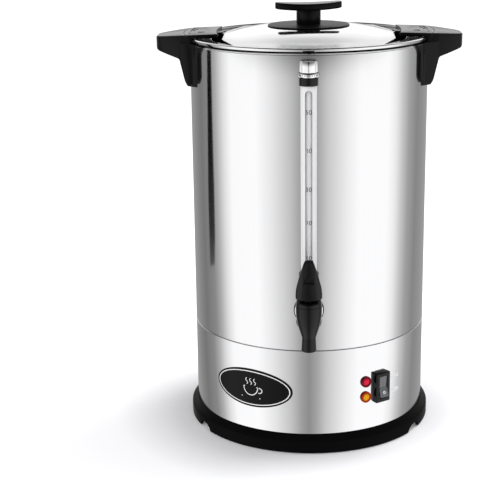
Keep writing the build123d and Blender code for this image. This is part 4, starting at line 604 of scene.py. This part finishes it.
# painted shade: darker copies of the lens colours, for the flanges
red_flange_shade = surface("red_flange_shade", (0.15, 0.003, 0.008), 0.20, **lens_look)
amber_flange_shade = surface("amber_flange_shade", (0.42, 0.030, 0.004), 0.20, **lens_look)
rims = []
for colour, lens_material, flange_shade in (("red", red_lens, red_flange_shade), ("amber", amber_lens, amber_flange_shade)):
    rim = turned("lamp_rim", [(4.22, -1.2, 0), (5.3, -1.2, 0), (5.3, 0.9, 0.3), (4.22, 0.9, 0.2)], 48)
    rim.data.transform(lamp_places[colour])
    rims.append(rim)
    flange = turned("lens_flange_" + colour, [(3.4, 0.6, 0), (5.2, 0.6, 0), (5.2, 1.75, 0.3),
                                              (3.4, 1.95, 0.2)], 48)
    flange.data.transform(lamp_places[colour])
    assembled(flange, flange_shade, "urn", colour + "_lens")
    lens = turned("lens_" + colour, [(0, 2.4, 0), (1.6, 2.25, 0.8), (3.2, 1.6, 1.2), (4.15, 0.5, 0.5),
                                     (4.15, -15.4, 0.5), (0, -15.4, 0)], 48)
    lens.data.transform(lamp_places[colour])
    for side in (-1.8, 1.8):
        tag = boxed("lamp_tag", 0.6, 3, 8.2, lamp_places[colour], middle=(side, 0, -19.2))
        combine(lens, tag, "UNION")
    assembled(lens, lens_material, "urn", colour + "_lens", "lamp_" + colour)
combine(rims[0], rims[1], "UNION")
rims[0].name = "lamp_rims"
assembled(rims[0], black_gloss, "urn", "black_gloss", "lamp_bezels")

# -------- badge
# A thin black oval plate glued to the band, with a white border line and a steaming cup, both
# printed.
badge_at = wall(-29, 57.2, 100)


def ellipse(width, height, depth, inner=0.0):
    """Closed elliptical disc, or ring with an inner line that far inside, on badge_at."""
    mesh = bmesh.new()
    bmesh.ops.create_circle(mesh, cap_ends=not inner, segments=128, radius=1)
    bmesh.ops.scale(mesh, vec=(width / 2 * mm, height / 2 * mm, 1), verts=mesh.verts[:])
    if inner:
        rim = bmesh.ops.extrude_edge_only(mesh, edges=mesh.edges[:])["geom"]
        bmesh.ops.scale(mesh, vec=(1 - 2 * inner / width, 1 - 2 * inner / height, 1),
                        verts=[v for v in rim if isinstance(v, bmesh.types.BMVert)])
    thickened(mesh, mesh.faces[:], depth)
    bmesh.ops.recalc_face_normals(mesh, faces=mesh.faces[:])
    bmesh.ops.transform(mesh, matrix=badge_at, verts=mesh.verts[:])
    return finished("oval", mesh)


badge_black = surface("badge_black", (0.003, 0.003, 0.003), 0.18, grain=900, rough_spread=0.04,
                      shade_spread=0.2, bump=0.001, Specular_IOR_Level=0.12)
badge = combine(plain_ring("badge", 110.0, 110.7, 37, 78, 360), ellipse(80, 36.5, 16), "INTERSECT")
assembled(badge, badge_black, "urn", "black_gloss", "badge_plate")
border = combine(plain_ring("badge_border", 110.66, 110.76, 38, 77, 360), ellipse(76.5, 33.0, 16, 0.9),
                 "INTERSECT")
assembled(border, white_print, "urn", "white_plastic")


def stroke(mesh, points, width, thick):
    """Flat ribbon of even width along points, closed in thickness, in millimetres."""
    near, far = [], []
    for i, (x, y) in enumerate(points):
        x0, y0 = points[max(i - 1, 0)]
        x1, y1 = points[min(i + 1, len(points) - 1)]
        along = Vector((x1 - x0, y1 - y0)).normalized()
        off = Vector((-along.y, along.x)) * width / 2
        near.append(mesh.verts.new(((x + off.x) * mm, (y + off.y) * mm, 0)))
        far.append(mesh.verts.new(((x - off.x) * mm, (y - off.y) * mm, 0)))
    faces = [mesh.faces.new((near[i], near[i + 1], far[i + 1], far[i])) for i in range(len(points) - 1)]
    bmesh.ops.recalc_face_normals(mesh, faces=faces)
    thickened(mesh, faces, thick)


cup_mark = bmesh.new()
bowl = [(7.5 * math.cos(a), 1.0 + 8.0 * math.sin(a)) for a in [math.radians(180 + 10 * i) for i in range(19)]]
stroke(cup_mark, [(-7.5, 1.0)] + bowl[1:-1] + [(7.5, 1.0), (-7.5, 1.0)], 0.8, 0.1)
handle_line = [(9.2 + 2.6 * math.cos(a), -1.6 + 2.4 * math.sin(a))
               for a in [math.radians(-115 + 16 * i) for i in range(15)]]
stroke(cup_mark, handle_line, 0.8, 0.1)
stroke(cup_mark, [(-10, -9.2), (10, -9.2)], 0.8, 0.1)
for x in (-4.2, 0, 4.2):
    steam = [(x + 1.1 * math.sin(0.4 * i), 3.2 + 0.95 * 0.4 * i) for i in range(17)]
    stroke(cup_mark, steam, 0.7, 0.1)
assembled(wrapped("badge_cup", cup_mark, -29, 57.2, 110.68), white_print, "urn", "white_plastic")

# -------- handles
# Each handle is one black moulding: a tapered grip over the rim with coring slots beneath, a leg and
# a pad on the wall, and a hook that the turned lid locks under. Two screws hold it from inside.
sideways = Matrix(((1, 0, 0, 0), (0, 0, -1, 0), (0, 1, 0, 0), (0, 0, 0, 1)))
facing_x = Matrix(((0, 0, 1, 0), (1, 0, 0, 0), (0, 1, 0, 0), (0, 0, 0, 1)))


def softened(piece, width, segments=3, angle=35):
    """Rounds the sharp edges of a finished piece, width in millimetres."""
    edge = piece.modifiers.new("edges", "BEVEL")
    edge.width = width * mm
    edge.segments = segments
    edge.limit_method = "ANGLE"
    edge.angle_limit = math.radians(angle)
    edge.harden_normals = False
    return applied(piece)


def tidied(piece):
    """Merges the flat facets that cutting leaves behind."""
    mesh = bmesh.new()
    mesh.from_mesh(piece.data)
    bmesh.ops.remove_doubles(mesh, verts=mesh.verts[:], dist=5e-6)
    bmesh.ops.dissolve_limit(mesh, angle_limit=math.radians(0.5), verts=mesh.verts[:], edges=mesh.edges[:])
    mesh.to_mesh(piece.data)
    mesh.free()
    return piece


side = [(78, 327.15, 0), (78, 373.98, 0), (113, 372.85, 9), (141, 370.05, 1.6), (141, 358.05, 2.6),
        (118, 351.05, 1.6), (112.7, 330.6, 2.4), (110.1, 327.15, 0)]
grip = block_of("handle_right", side, 70, Matrix.Translation((0, 35 * mm, 0)) @ sideways)
plan = block_of("handle_plan", [
    (82, -33, 0.8), (107, -33, 2), (124.9, -27.1, 15), (138.5, -14, 3), (143.5, 0, 11), (138.5, 14, 3),
    (124.9, 27.1, 15), (107, 33, 2), (82, 33, 0.8), (88.8, 0, 31)], 120, Matrix.Translation((0, 0, 0.28)),
    segments=12)
combine(grip, plan, "INTERSECT")
leg = block_of("handle_leg", side, 96, Matrix.Translation((0, 48 * mm, 0)) @ sideways)
combine(leg, block_of("leg_plan", [
    (80, -44, 0), (100.8, -44, 0), (118, -29, 1.2), (118, 29, 1.2), (100.8, 44, 0), (80, 44, 0)], 365.05,
    Matrix.Identity(4)), "INTERSECT")
combine(grip, leg, "UNION")
combine(grip, turned("tank_room", [(0, 300, 0), (110.1, 300, 0), (110.1, 365.05, 0), (111.1, 365.05, 0),
                                   (111.1, 370.1, 0), (0, 370.1, 0)], 360))
softened(tidied(grip), 0.9, 4)
hook = block_of("hook", [(89.4, -11, 0), (89.4, 11, 0), (79.2, 4, 1.0), (79.2, -4, 1.0)], 2.2,
                Matrix.Translation((0, 0, 0.3701)))
combine(grip, softened(hook, 0.3), "UNION")
pad = turned("pad", [(110.1, 327.15, 0), (112.3, 327.15, 0.8), (112.3, 365.0, 0.5), (110.1, 365.0, 0)], 360)
combine(pad, block_of("pad_outline", [
    (-59, 365.65, 0), (59, 365.65, 0), (52, 358.65, 3), (52, 331.2, 8), (30, 328.6, 12), (-30, 328.6, 12),
    (-52, 331.2, 8), (-52, 358.65, 3)], 130, facing_x, segments=8), "INTERSECT")
combine(grip, softened(tidied(pad), 0.5, 2), "UNION")
for y in (-46.2, 46.2):
    combine(grip, boxed("pad_groove", 4, 1.1, 40, Matrix.Identity(4), middle=(103.6, y, 348.5)))
combine(grip, plain_ring("top_groove", 114.9, 115.7, 371.6, 380, 360))
for y in range(-28, 29, 7):
    inner_end = 86 if abs(y) >= 14 else 92
    combine(grip, boxed("coring", 106 - inner_end, 5, 4.2, Matrix.Identity(4),
                        middle=((106 + inner_end) / 2, y, 370.1)))
for turn_angle in (81.5, 98.5):
    hole = plain_ring("screw_hole", 0, 2.53, -3, 12.5, 24)
    hole.data.transform(wall(turn_angle, 355.5))
    combine(grip, hole)

ridges = bmesh.new()
for radius, first, last in ((110.0, -9, 13), (106.6, 2, 12)):
    turns = [math.radians(first + (last - first) * i / 12) for i in range(13)]
    stroke(ridges, [(radius * math.cos(a), radius * math.sin(a)) for a in turns], 0.9, 0.8)
for y in (-13.5, -10.5, -7.5):
    stroke(ridges, [(95.5, y), (101.5, y)], 1.3, 0.8)
bmesh.ops.translate(ridges, verts=ridges.verts[:], vec=(0, 0, 0.3727))
ridges = finished("lock_marks_right", ridges)


def mirrored(piece, name):
    """The same piece for the other side of the urn."""
    mesh = bmesh.new()
    mesh.from_mesh(piece.data)
    bmesh.ops.scale(mesh, vec=(-1, 1, 1), verts=mesh.verts[:])
    bmesh.ops.recalc_face_normals(mesh, faces=mesh.faces[:])
    return finished(name, mesh)


assembled(mirrored(grip, "handle_left"), black_moulding, "urn", "black_moulding", "handle_left")
assembled(grip, black_moulding, "urn", "black_moulding", "handle_right")
assembled(mirrored(ridges, "lock_marks_left"), black_moulding, "urn", "black_moulding")
assembled(ridges, black_moulding, "urn", "black_moulding")
silicone = surface("silicone", (0.68, 0.67, 0.63), 0.55, grain=800, shade_spread=0.08, bump=0.01)
dress(zinc_plate, "handle_screws")
dress(silicone, "handle_washers")

# -------- tap body
# A glossy moulded valve body: a bulb that draws in to the spout, a boss screwed to the shank in
# the tank wall, and a riser that feeds the sight gauge. A screwed bonnet closes it above.
tap_y, gauge_y = -141, -122.5
backwards_turn = Matrix.Rotation(math.radians(-90), 4, "X")
shank_line = Matrix.Translation((0, tap_y * mm, 137.5 * mm)) @ backwards_turn
body_of_tap = turned("tap_body", [
    (0, 109.8, 0), (6.8, 109.8, 0.8), (6.2, 122.0, 1.0), (7.6, 126.4, 2), (9.6, 132.5, 3), (10.8, 138.2, 3),
    (11.5, 143.5, 2), (11.55, 151.5, 0.3), (0, 151.5, 0)], 128, 0, tap_y)
boss = turned("tap_boss", [(0, 0, 0), (11.0, 0, 0), (11.0, 27.4, 0.8), (0, 27.4, 0)], 96)
boss.data.transform(shank_line)
combine(body_of_tap, boss, "UNION")
combine(body_of_tap, turned("riser", [(0, 137.5, 0), (6.8, 137.5, 0), (6.8, 172.3, 0.3), (0, 172.3, 0)], 64,
                            0, gauge_y), "UNION")
combine(body_of_tap, turned("chamber", [(0, 100, 0), (4.5, 100, 0), (4.5, 129.5, 0), (7.6, 129.5, 0),
                                        (7.6, 153, 0), (0, 153, 0)], 64, 0, tap_y))
combine(body_of_tap, turned("glass_seat", [(0, 145, 0), (2.7, 145, 0), (2.7, 164.3, 0), (5.23, 164.3, 0),
                                           (5.23, 174, 0), (0, 174, 0)], 48, 0, gauge_y))
bore = turned("shank_bore", [(0, 8, 0), (5.0, 8, 0), (5.0, 21.4, 0), (8.03, 21.4, 0), (8.03, 29, 0),
                             (0, 29, 0)], 48)
bore.data.transform(shank_line)
combine(body_of_tap, bore)
assembled(body_of_tap, black_gloss, "urn", "black_gloss", "tap_body")

bonnet = turned("bonnet", [(2.56, 147.5, 0.2), (7.57, 147.5, 0.3), (7.57, 151.5, 0), (11.5, 151.5, 0.4),
                           (11.0, 156.2, 1.6), (2.56, 156.2, 0.4)], 128, 0, tap_y)
combine(bonnet, plain_ring("spring_room", 0, 5.3, 147, 154.85, 48, tap_y))
assembled(bonnet, black_gloss, "urn", "black_gloss", "tap_bonnet")

# -------- shank
# A hollow threaded shank with a bright round collar passes through the tank wall between a
# silicone washer inside and a black washer outside, and is held inside by a large nut.
shank = turned("tap_shank", [
    (5.0, 11.4, 0), (8.0, 11.4, 0.4), (8.0, 27.4, 0), (12.6, 27.4, 0.7), (12.6, 29.6, 0.2), (8.0, 29.6, 0),
    (8.0, 33.8, 0.4), (5.0, 33.8, 0.3)], 96)
shank.data.transform(shank_line)
chrome_plate = surface("chrome_plate", (0.90, 0.90, 0.91), 0.05, metallic=1.0, grain=260,
                       rough_spread=0.02, shade_spread=0.01, bump=0.0006)
assembled(shank, chrome_plate, "urn", "chrome_plate", "tap_shank")
dress(silicone, "tap_inner_washer")
dress(black_moulding, "tap_outer_washer", "tap_shank_nut")

# -------- valve
# A steel stem carries a silicone cup on its foot, a closing spring and the lever's pin at its top.
spring_steel = surface("spring_steel", (0.66, 0.67, 0.68), 0.22, metallic=1.0, grain=(1200, 1200, 300),
                       rough_spread=0.08, bump=0.004)
dress(spring_steel, "valve_stem", "tap_spring", "lever_pin")
dress(silicone, "valve_seat_cup")

# -------- lever
# A shield-shaped glossy lever with raised sides. Its middle is sunk: a dotted thumb patch above
# and a smooth panel below. Two cheeks behind hold the pin.
lever = block_of("tap_lever", [
    (-146.6, 156.3, 2.5), (-141.4, 156.9, 2.5), (-136.7, 159.5, 2.5), (-136.7, 164.0, 2.5),
    (-141.0, 166.2, 1.5), (-147.9, 173.5, 2.0), (-148.9, 195.2, 0.5), (-151.5, 195.2, 0.9),
    (-152.3, 170.0, 6), (-151.8, 160.5, 3.0)], 26, Matrix.Translation((-13 * mm, 0, 0)) @ facing_x)
combine(lever, plain_ring("lever_round", 0, 15.0, 150, 198, 160, -137.4), "INTERSECT")
front_view = Matrix.Translation((0, -0.120, 0)) @ sideways
combine(lever, block_of("lever_outline", [
    (-11.45, 159.6, 1.2), (-5.5, 156.0, 4), (5.5, 156.0, 4), (11.45, 159.6, 1.2), (11.55, 167.0, 5),
    (6.5, 187.0, 8), (3.3, 194.9, 1.9), (-3.3, 194.9, 1.9), (-6.5, 187.0, 8), (-11.55, 167.0, 5)], 60,
    front_view, segments=8), "INTERSECT")
sunk = block_of("sunk_middle", [
    (-7.7, 155, 0), (7.7, 155, 0), (6.2, 172.0, 3), (4.4, 178.0, 3), (3.6, 188.5, 2), (2.2, 192.3, 1.2),
    (-2.2, 192.3, 1.2), (-3.6, 188.5, 2), (-4.4, 178.0, 3), (-6.2, 172.0, 3)], 20,
    Matrix.Translation((0, -0.1513, 0)) @ sideways)
combine(lever, softened(sunk, 0.4, 2))
panel = block_of("panel_front", [(-7.0, 158.8, 1), (7.0, 158.8, 1), (5.7, 171.6, 2), (4.6, 174.6, 1.0),
                                 (-4.6, 174.6, 1.0), (-5.7, 171.6, 2)], 1.2,
                 Matrix.Translation((0, -0.1508, 0)) @ sideways)
combine(lever, softened(panel, 0.35, 2), "UNION")
combine(lever, block_of("cheek_gap", [(-3.6, 150, 0), (3.6, 150, 0), (3.6, 170.5, 0), (-3.6, 170.5, 0)], 15.6,
                        Matrix.Translation((0, -0.1324, 0)) @ sideways))
pin_hole = plain_ring("pin_hole", 0, 1.56, -20, 20, 24)
pin_hole.data.transform(Matrix.Translation((0, tap_y * mm, 161.5 * mm))
                        @ Matrix.Rotation(math.radians(90), 4, "Y"))
combine(lever, pin_hole)
softened(tidied(lever), 0.55, 3)
assembled(lever, black_gloss, "lever", "black_gloss", "tap_lever")

dots = bmesh.new()
for row in range(9):
    for column in range(-1 - row // 5, 2 + row // 5):
        at = Matrix.Translation(((column + 0.5 * (row % 2)) * 1.5 * mm, -0.1513, (189.0 - 1.5 * row) * mm))
        bmesh.ops.create_uvsphere(dots, u_segments=10, v_segments=6, radius=0.42 * mm, matrix=at)
assembled(finished("thumb_dots", dots), black_gloss, "lever", "black_gloss")

# -------- sight gauge
# A glass tube shows the level. It stands in the tap's riser and in a collar on the wall, inside a
# white sleeve with a long window. The cup marks are printed on the glass.
clear_glass = surface("clear_glass", (0.96, 0.96, 0.97), 0.05, grain=(200, 200, 60), rough_spread=0.02,
                      shade_spread=0.02, bump=0.001, Alpha=0.90, IOR=1.47)
white_sleeve = surface("white_sleeve", (0.84, 0.84, 0.85), 0.16, grain=(700, 700, 90), rough_spread=0.04,
                       shade_spread=0.03, bump=0.002, Coat_Weight=0.5, Coat_Roughness=0.06)
glass = turned("gauge_glass", [(2.7, 164.3, 0.2), (3.8, 164.3, 0.3), (3.8, 349.6, 0.3), (2.7, 349.6, 0.2)],
               64, 0, gauge_y)
assembled(glass, clear_glass, "urn", "clear_glass", "gauge_glass")
sleeve = turned("gauge_sleeve", [(5.7, 172.3, 0.2), (6.9, 172.3, 0.2), (6.9, 341.6, 0.2), (5.7, 341.6, 0.2)],
                96, 0, gauge_y)
combine(sleeve, block_of("window", [
    (-3.05, 182.1, 2.9), (3.05, 182.1, 2.9), (3.05, 336.6, 2.9), (-3.05, 336.6, 2.9)], 14,
    Matrix.Translation((0, gauge_y * mm, 0)) @ sideways))
assembled(sleeve, white_sleeve, "urn", "white_plastic", "gauge_shield")
dress(silicone, "gauge_seals")
dress(zinc_plate, "gauge_bracket_nut")
dark_print = surface("dark_print", (0.055, 0.055, 0.060), 0.5, grain=2500, shade_spread=0.1,
                     bump=0.002)
print_radius = 3.83
for cups, up in ((10, 189.7), (20, 221.2), (30, 250.7), (40, 284.6), (50, 317.6)):
    figure = lettering("figure", str(cups), 4.1, 0.06)
    figure = wrapped(f"mark_{cups}", figure, 0, up, print_radius, 0, gauge_y)
    assembled(figure, dark_print, "urn", "dark_print")
    for place, off_middle in (("low", -4.6), ("high", 4.6)):
        line = boxed("tick", 2.4, 0.35, 0.06, Matrix.Identity(4), middle=(0, off_middle, 0))
        tick = bmesh.new()
        tick.from_mesh(line.data)
        bpy.data.objects.remove(line)
        tick = wrapped(f"tick_{cups}_{place}", tick, 0, up, print_radius, 0, gauge_y)
        assembled(tick, dark_print, "urn", "dark_print")

lower_collar = turned("gauge_lower_collar", [
    (6.83, 168.2, 0.2), (8.9, 168.2, 0.5), (8.9, 176.2, 1.4), (6.93, 176.2, 0.3), (6.93, 172.3, 0),
    (6.83, 172.3, 0)], 96, 0, gauge_y)
assembled(lower_collar, black_gloss, "urn", "black_gloss", "gauge_lower_collar")
bracket = turned("gauge_collar", [
    (4.1, 341.6, 0), (6.93, 341.6, 0), (6.93, 340.3, 0.2), (8.4, 340.3, 0.4), (8.4, 347.6, 0.4),
    (5.23, 347.6, 0.2), (5.23, 342.4, 0), (4.1, 342.4, 0)], 96, 0, gauge_y)
arm = turned("bracket_arm", [(0, 0, 0), (3.2, 0, 0), (3.2, 5.0, 0.3), (2.6, 5.4, 0), (2.6, 14.6, 0.3),
                             (0, 14.6, 0)], 48)
arm.data.transform(Matrix.Translation((0, -0.1157, 0.3419)) @ backwards_turn)
combine(bracket, arm, "UNION")
assembled(bracket, black_gloss, "urn", "black_gloss", "gauge_top_bracket")

# -------- gauge cap
# A chromed vent cap pushed over the glass: a round flange with small pips round it, and an
# eight-sided grip above.
flange_height = 351.0
cap = turned("gauge_cap", [
    (0, 347.6, 0), (8.3, 347.6, 0), (8.8, 348.4, 0.5), (8.8, 350.8, 0.6), (7.4, 351.6, 0.3), (0, 351.6, 0)],
    96, 0, gauge_y)
facets = bmesh.new()
bmesh.ops.create_circle(facets, cap_ends=True, segments=8, radius=7.7 * mm,
                        matrix=Matrix.Translation((0, gauge_y * mm, flange_height * mm)))
thickened(facets, facets.faces[:], 10.3)
bmesh.ops.recalc_face_normals(facets, faces=facets.faces[:])
uprights = [e for e in facets.edges if abs(e.verts[0].co.z - e.verts[1].co.z) > 5 * mm]
bmesh.ops.bevel(facets, geom=uprights, offset=0.7 * mm, segments=3, profile=0.5, affect="EDGES", material=-1)
top_edges = [e for e in facets.edges if min(v.co.z for v in e.verts) > (flange_height + 9) * mm]
bmesh.ops.bevel(facets, geom=top_edges, offset=0.8 * mm, segments=3, profile=0.5, affect="EDGES", material=-1)
combine(cap, finished("cap_grip", facets, 20), "UNION", 20)
combine(cap, plain_ring("cap_bore", 0, 4.1, 340, 354, 48, gauge_y, 20), crease=20)
assembled(cap, chrome_plate, "urn", "chrome_plate", "gauge_cap")
pips = bmesh.new()
for i in range(14):
    a = math.radians(-91 + 14 * i)
    at = Matrix.Translation((8.65 * math.sin(a) * mm, (gauge_y - 8.65 * math.cos(a)) * mm, 349.4 * mm))
    bmesh.ops.create_uvsphere(pips, u_segments=10, v_segments=6, radius=0.5 * mm, matrix=at)
assembled(finished("cap_pips", pips), dark_print, "urn", "dark_print")

# -------- lid
# A pressed steel dome with a rolled edge, cut away at both handles, satin towards the edge. It
# rests on a black silicone ring.
rise = [(38 + 47 * s, 368.8 + 8.6 * (1 - s * s) ** 1.4) for s in [i / 11 for i in range(12)]]
lid = turned("lid_dome", [(3.1, 377.4, 0)] + [(r, z, 0) for r, z in rise]
             + [(104.6, 368.4, 0), (105.0, 368.6, 0.1), (106.0, 368.4, 0.3), (106.0, 367.6, 0.3)]
             + [(r, z - 0.8, 0) for r, z in reversed(rise)] + [(3.1, 376.6, 0)], 256)
side_cut = [(78.2, -33, 0), (78.2, 33, 0), (63, 85.24, 0), (83, 212, 0), (212, 212, 0), (212, -212, 0),
            (83, -212, 0), (63, -85.24, 0)]
for hand in (1, -1):
    combine(lid, block_of("side_cut", [(hand * x, y, 0) for x, y, r in side_cut], 40,
                          Matrix.Translation((0, 0, 0.35))))
lid_steel = surface("lid_steel", **bright_steel)
lid_tree = lid_steel.node_tree
per_decimetre = math_node(lid_tree, "MULTIPLY", from_axis(lid_tree)[0], 10.0)
lid_tree.links.new(ramp(lid_tree, per_decimetre, [(0.0, 0.08), (0.66, 0.09), (0.84, 0.34), (1.0, 0.36)]),
                   lid_tree.nodes["Principled BSDF"].inputs["Roughness"])
assembled(lid, lid_steel, "lid", "polished_stainless", "lid_shell")
dress(black_moulding, "lid_seal")

# -------- lid knob
# A round heat shield, a short stem and a boat-shaped bar, all black mouldings on one screw.
shield = turned("knob_disc", [(3.1, 377.4, 0), (37.4, 377.4, 0.3), (38.0, 378.0, 0.4), (37.3, 378.6, 0.5),
                              (16.5, 379.0, 1.5), (15.2, 378.9, 0.5), (3.1, 378.9, 0)], 192)
disc_black = surface("disc_black", jet, 0.42, grain=1300,
                     rough_spread=0.05, shade_spread=0.15, bump=0.003, Specular_IOR_Level=0.12)
assembled(shield, disc_black, "lid", "black_moulding", "knob_disc")
stem = turned("knob_stem", [(3.03, 378.9, 0), (11.2, 378.9, 0.4), (11.2, 391.7, 0.2), (3.03, 391.7, 0)], 96)
assembled(stem, black_moulding, "lid", "black_moulding", "knob_stem")
bar = block_of("knob_bar", [
    (0, 18.6, 29.0), (27.8, 6.75, 0.5), (34.6, 0, 8.8), (27.8, -6.75, 0.5), (0, -18.6, 29.0),
    (-27.8, -6.75, 0.5), (-34.6, 0, 8.8), (-27.8, 6.75, 0.5)], 6.0, Matrix.Translation((0, 0, 0.3917)),
    segments=20)
bar_mesh = bmesh.new()
bar_mesh.from_mesh(bar.data)
for x in range(-27, 28, 3):
    bmesh.ops.bisect_plane(bar_mesh, geom=bar_mesh.verts[:] + bar_mesh.edges[:] + bar_mesh.faces[:],
                           plane_co=(x * mm, 0, 0), plane_no=(1, 0, 0))
for vert in bar_mesh.verts:
    vert.co.z += 1.5 * mm * (vert.co.x / 0.0306) ** 2
bmesh.ops.rotate(bar_mesh, cent=(0, 0, 0), matrix=Matrix.Rotation(math.radians(9), 3, "Z"),
                 verts=bar_mesh.verts[:])
bpy.data.objects.remove(bar)
bar = softened(finished("knob_bar", bar_mesh), 1.1, 4, 50)
assembled(bar, black_moulding, "lid", "black_moulding", "knob_bar")
dress(zinc_plate, "knob_screw")

# -------- percolator
# Pressed aluminium: a pump foot in the well, a riser tube, and a perforated basket with a cover.
spun_aluminium = surface("spun_aluminium", (0.76, 0.77, 0.78), 0.30, metallic=1.0, grain=(1400, 1, 1400),
                         rings=True, rough_spread=0.08, shade_spread=0.06, bump=0.006)
dress(spun_aluminium, "percolator_foot", "percolator_tube", "coffee_basket", "basket_cover")
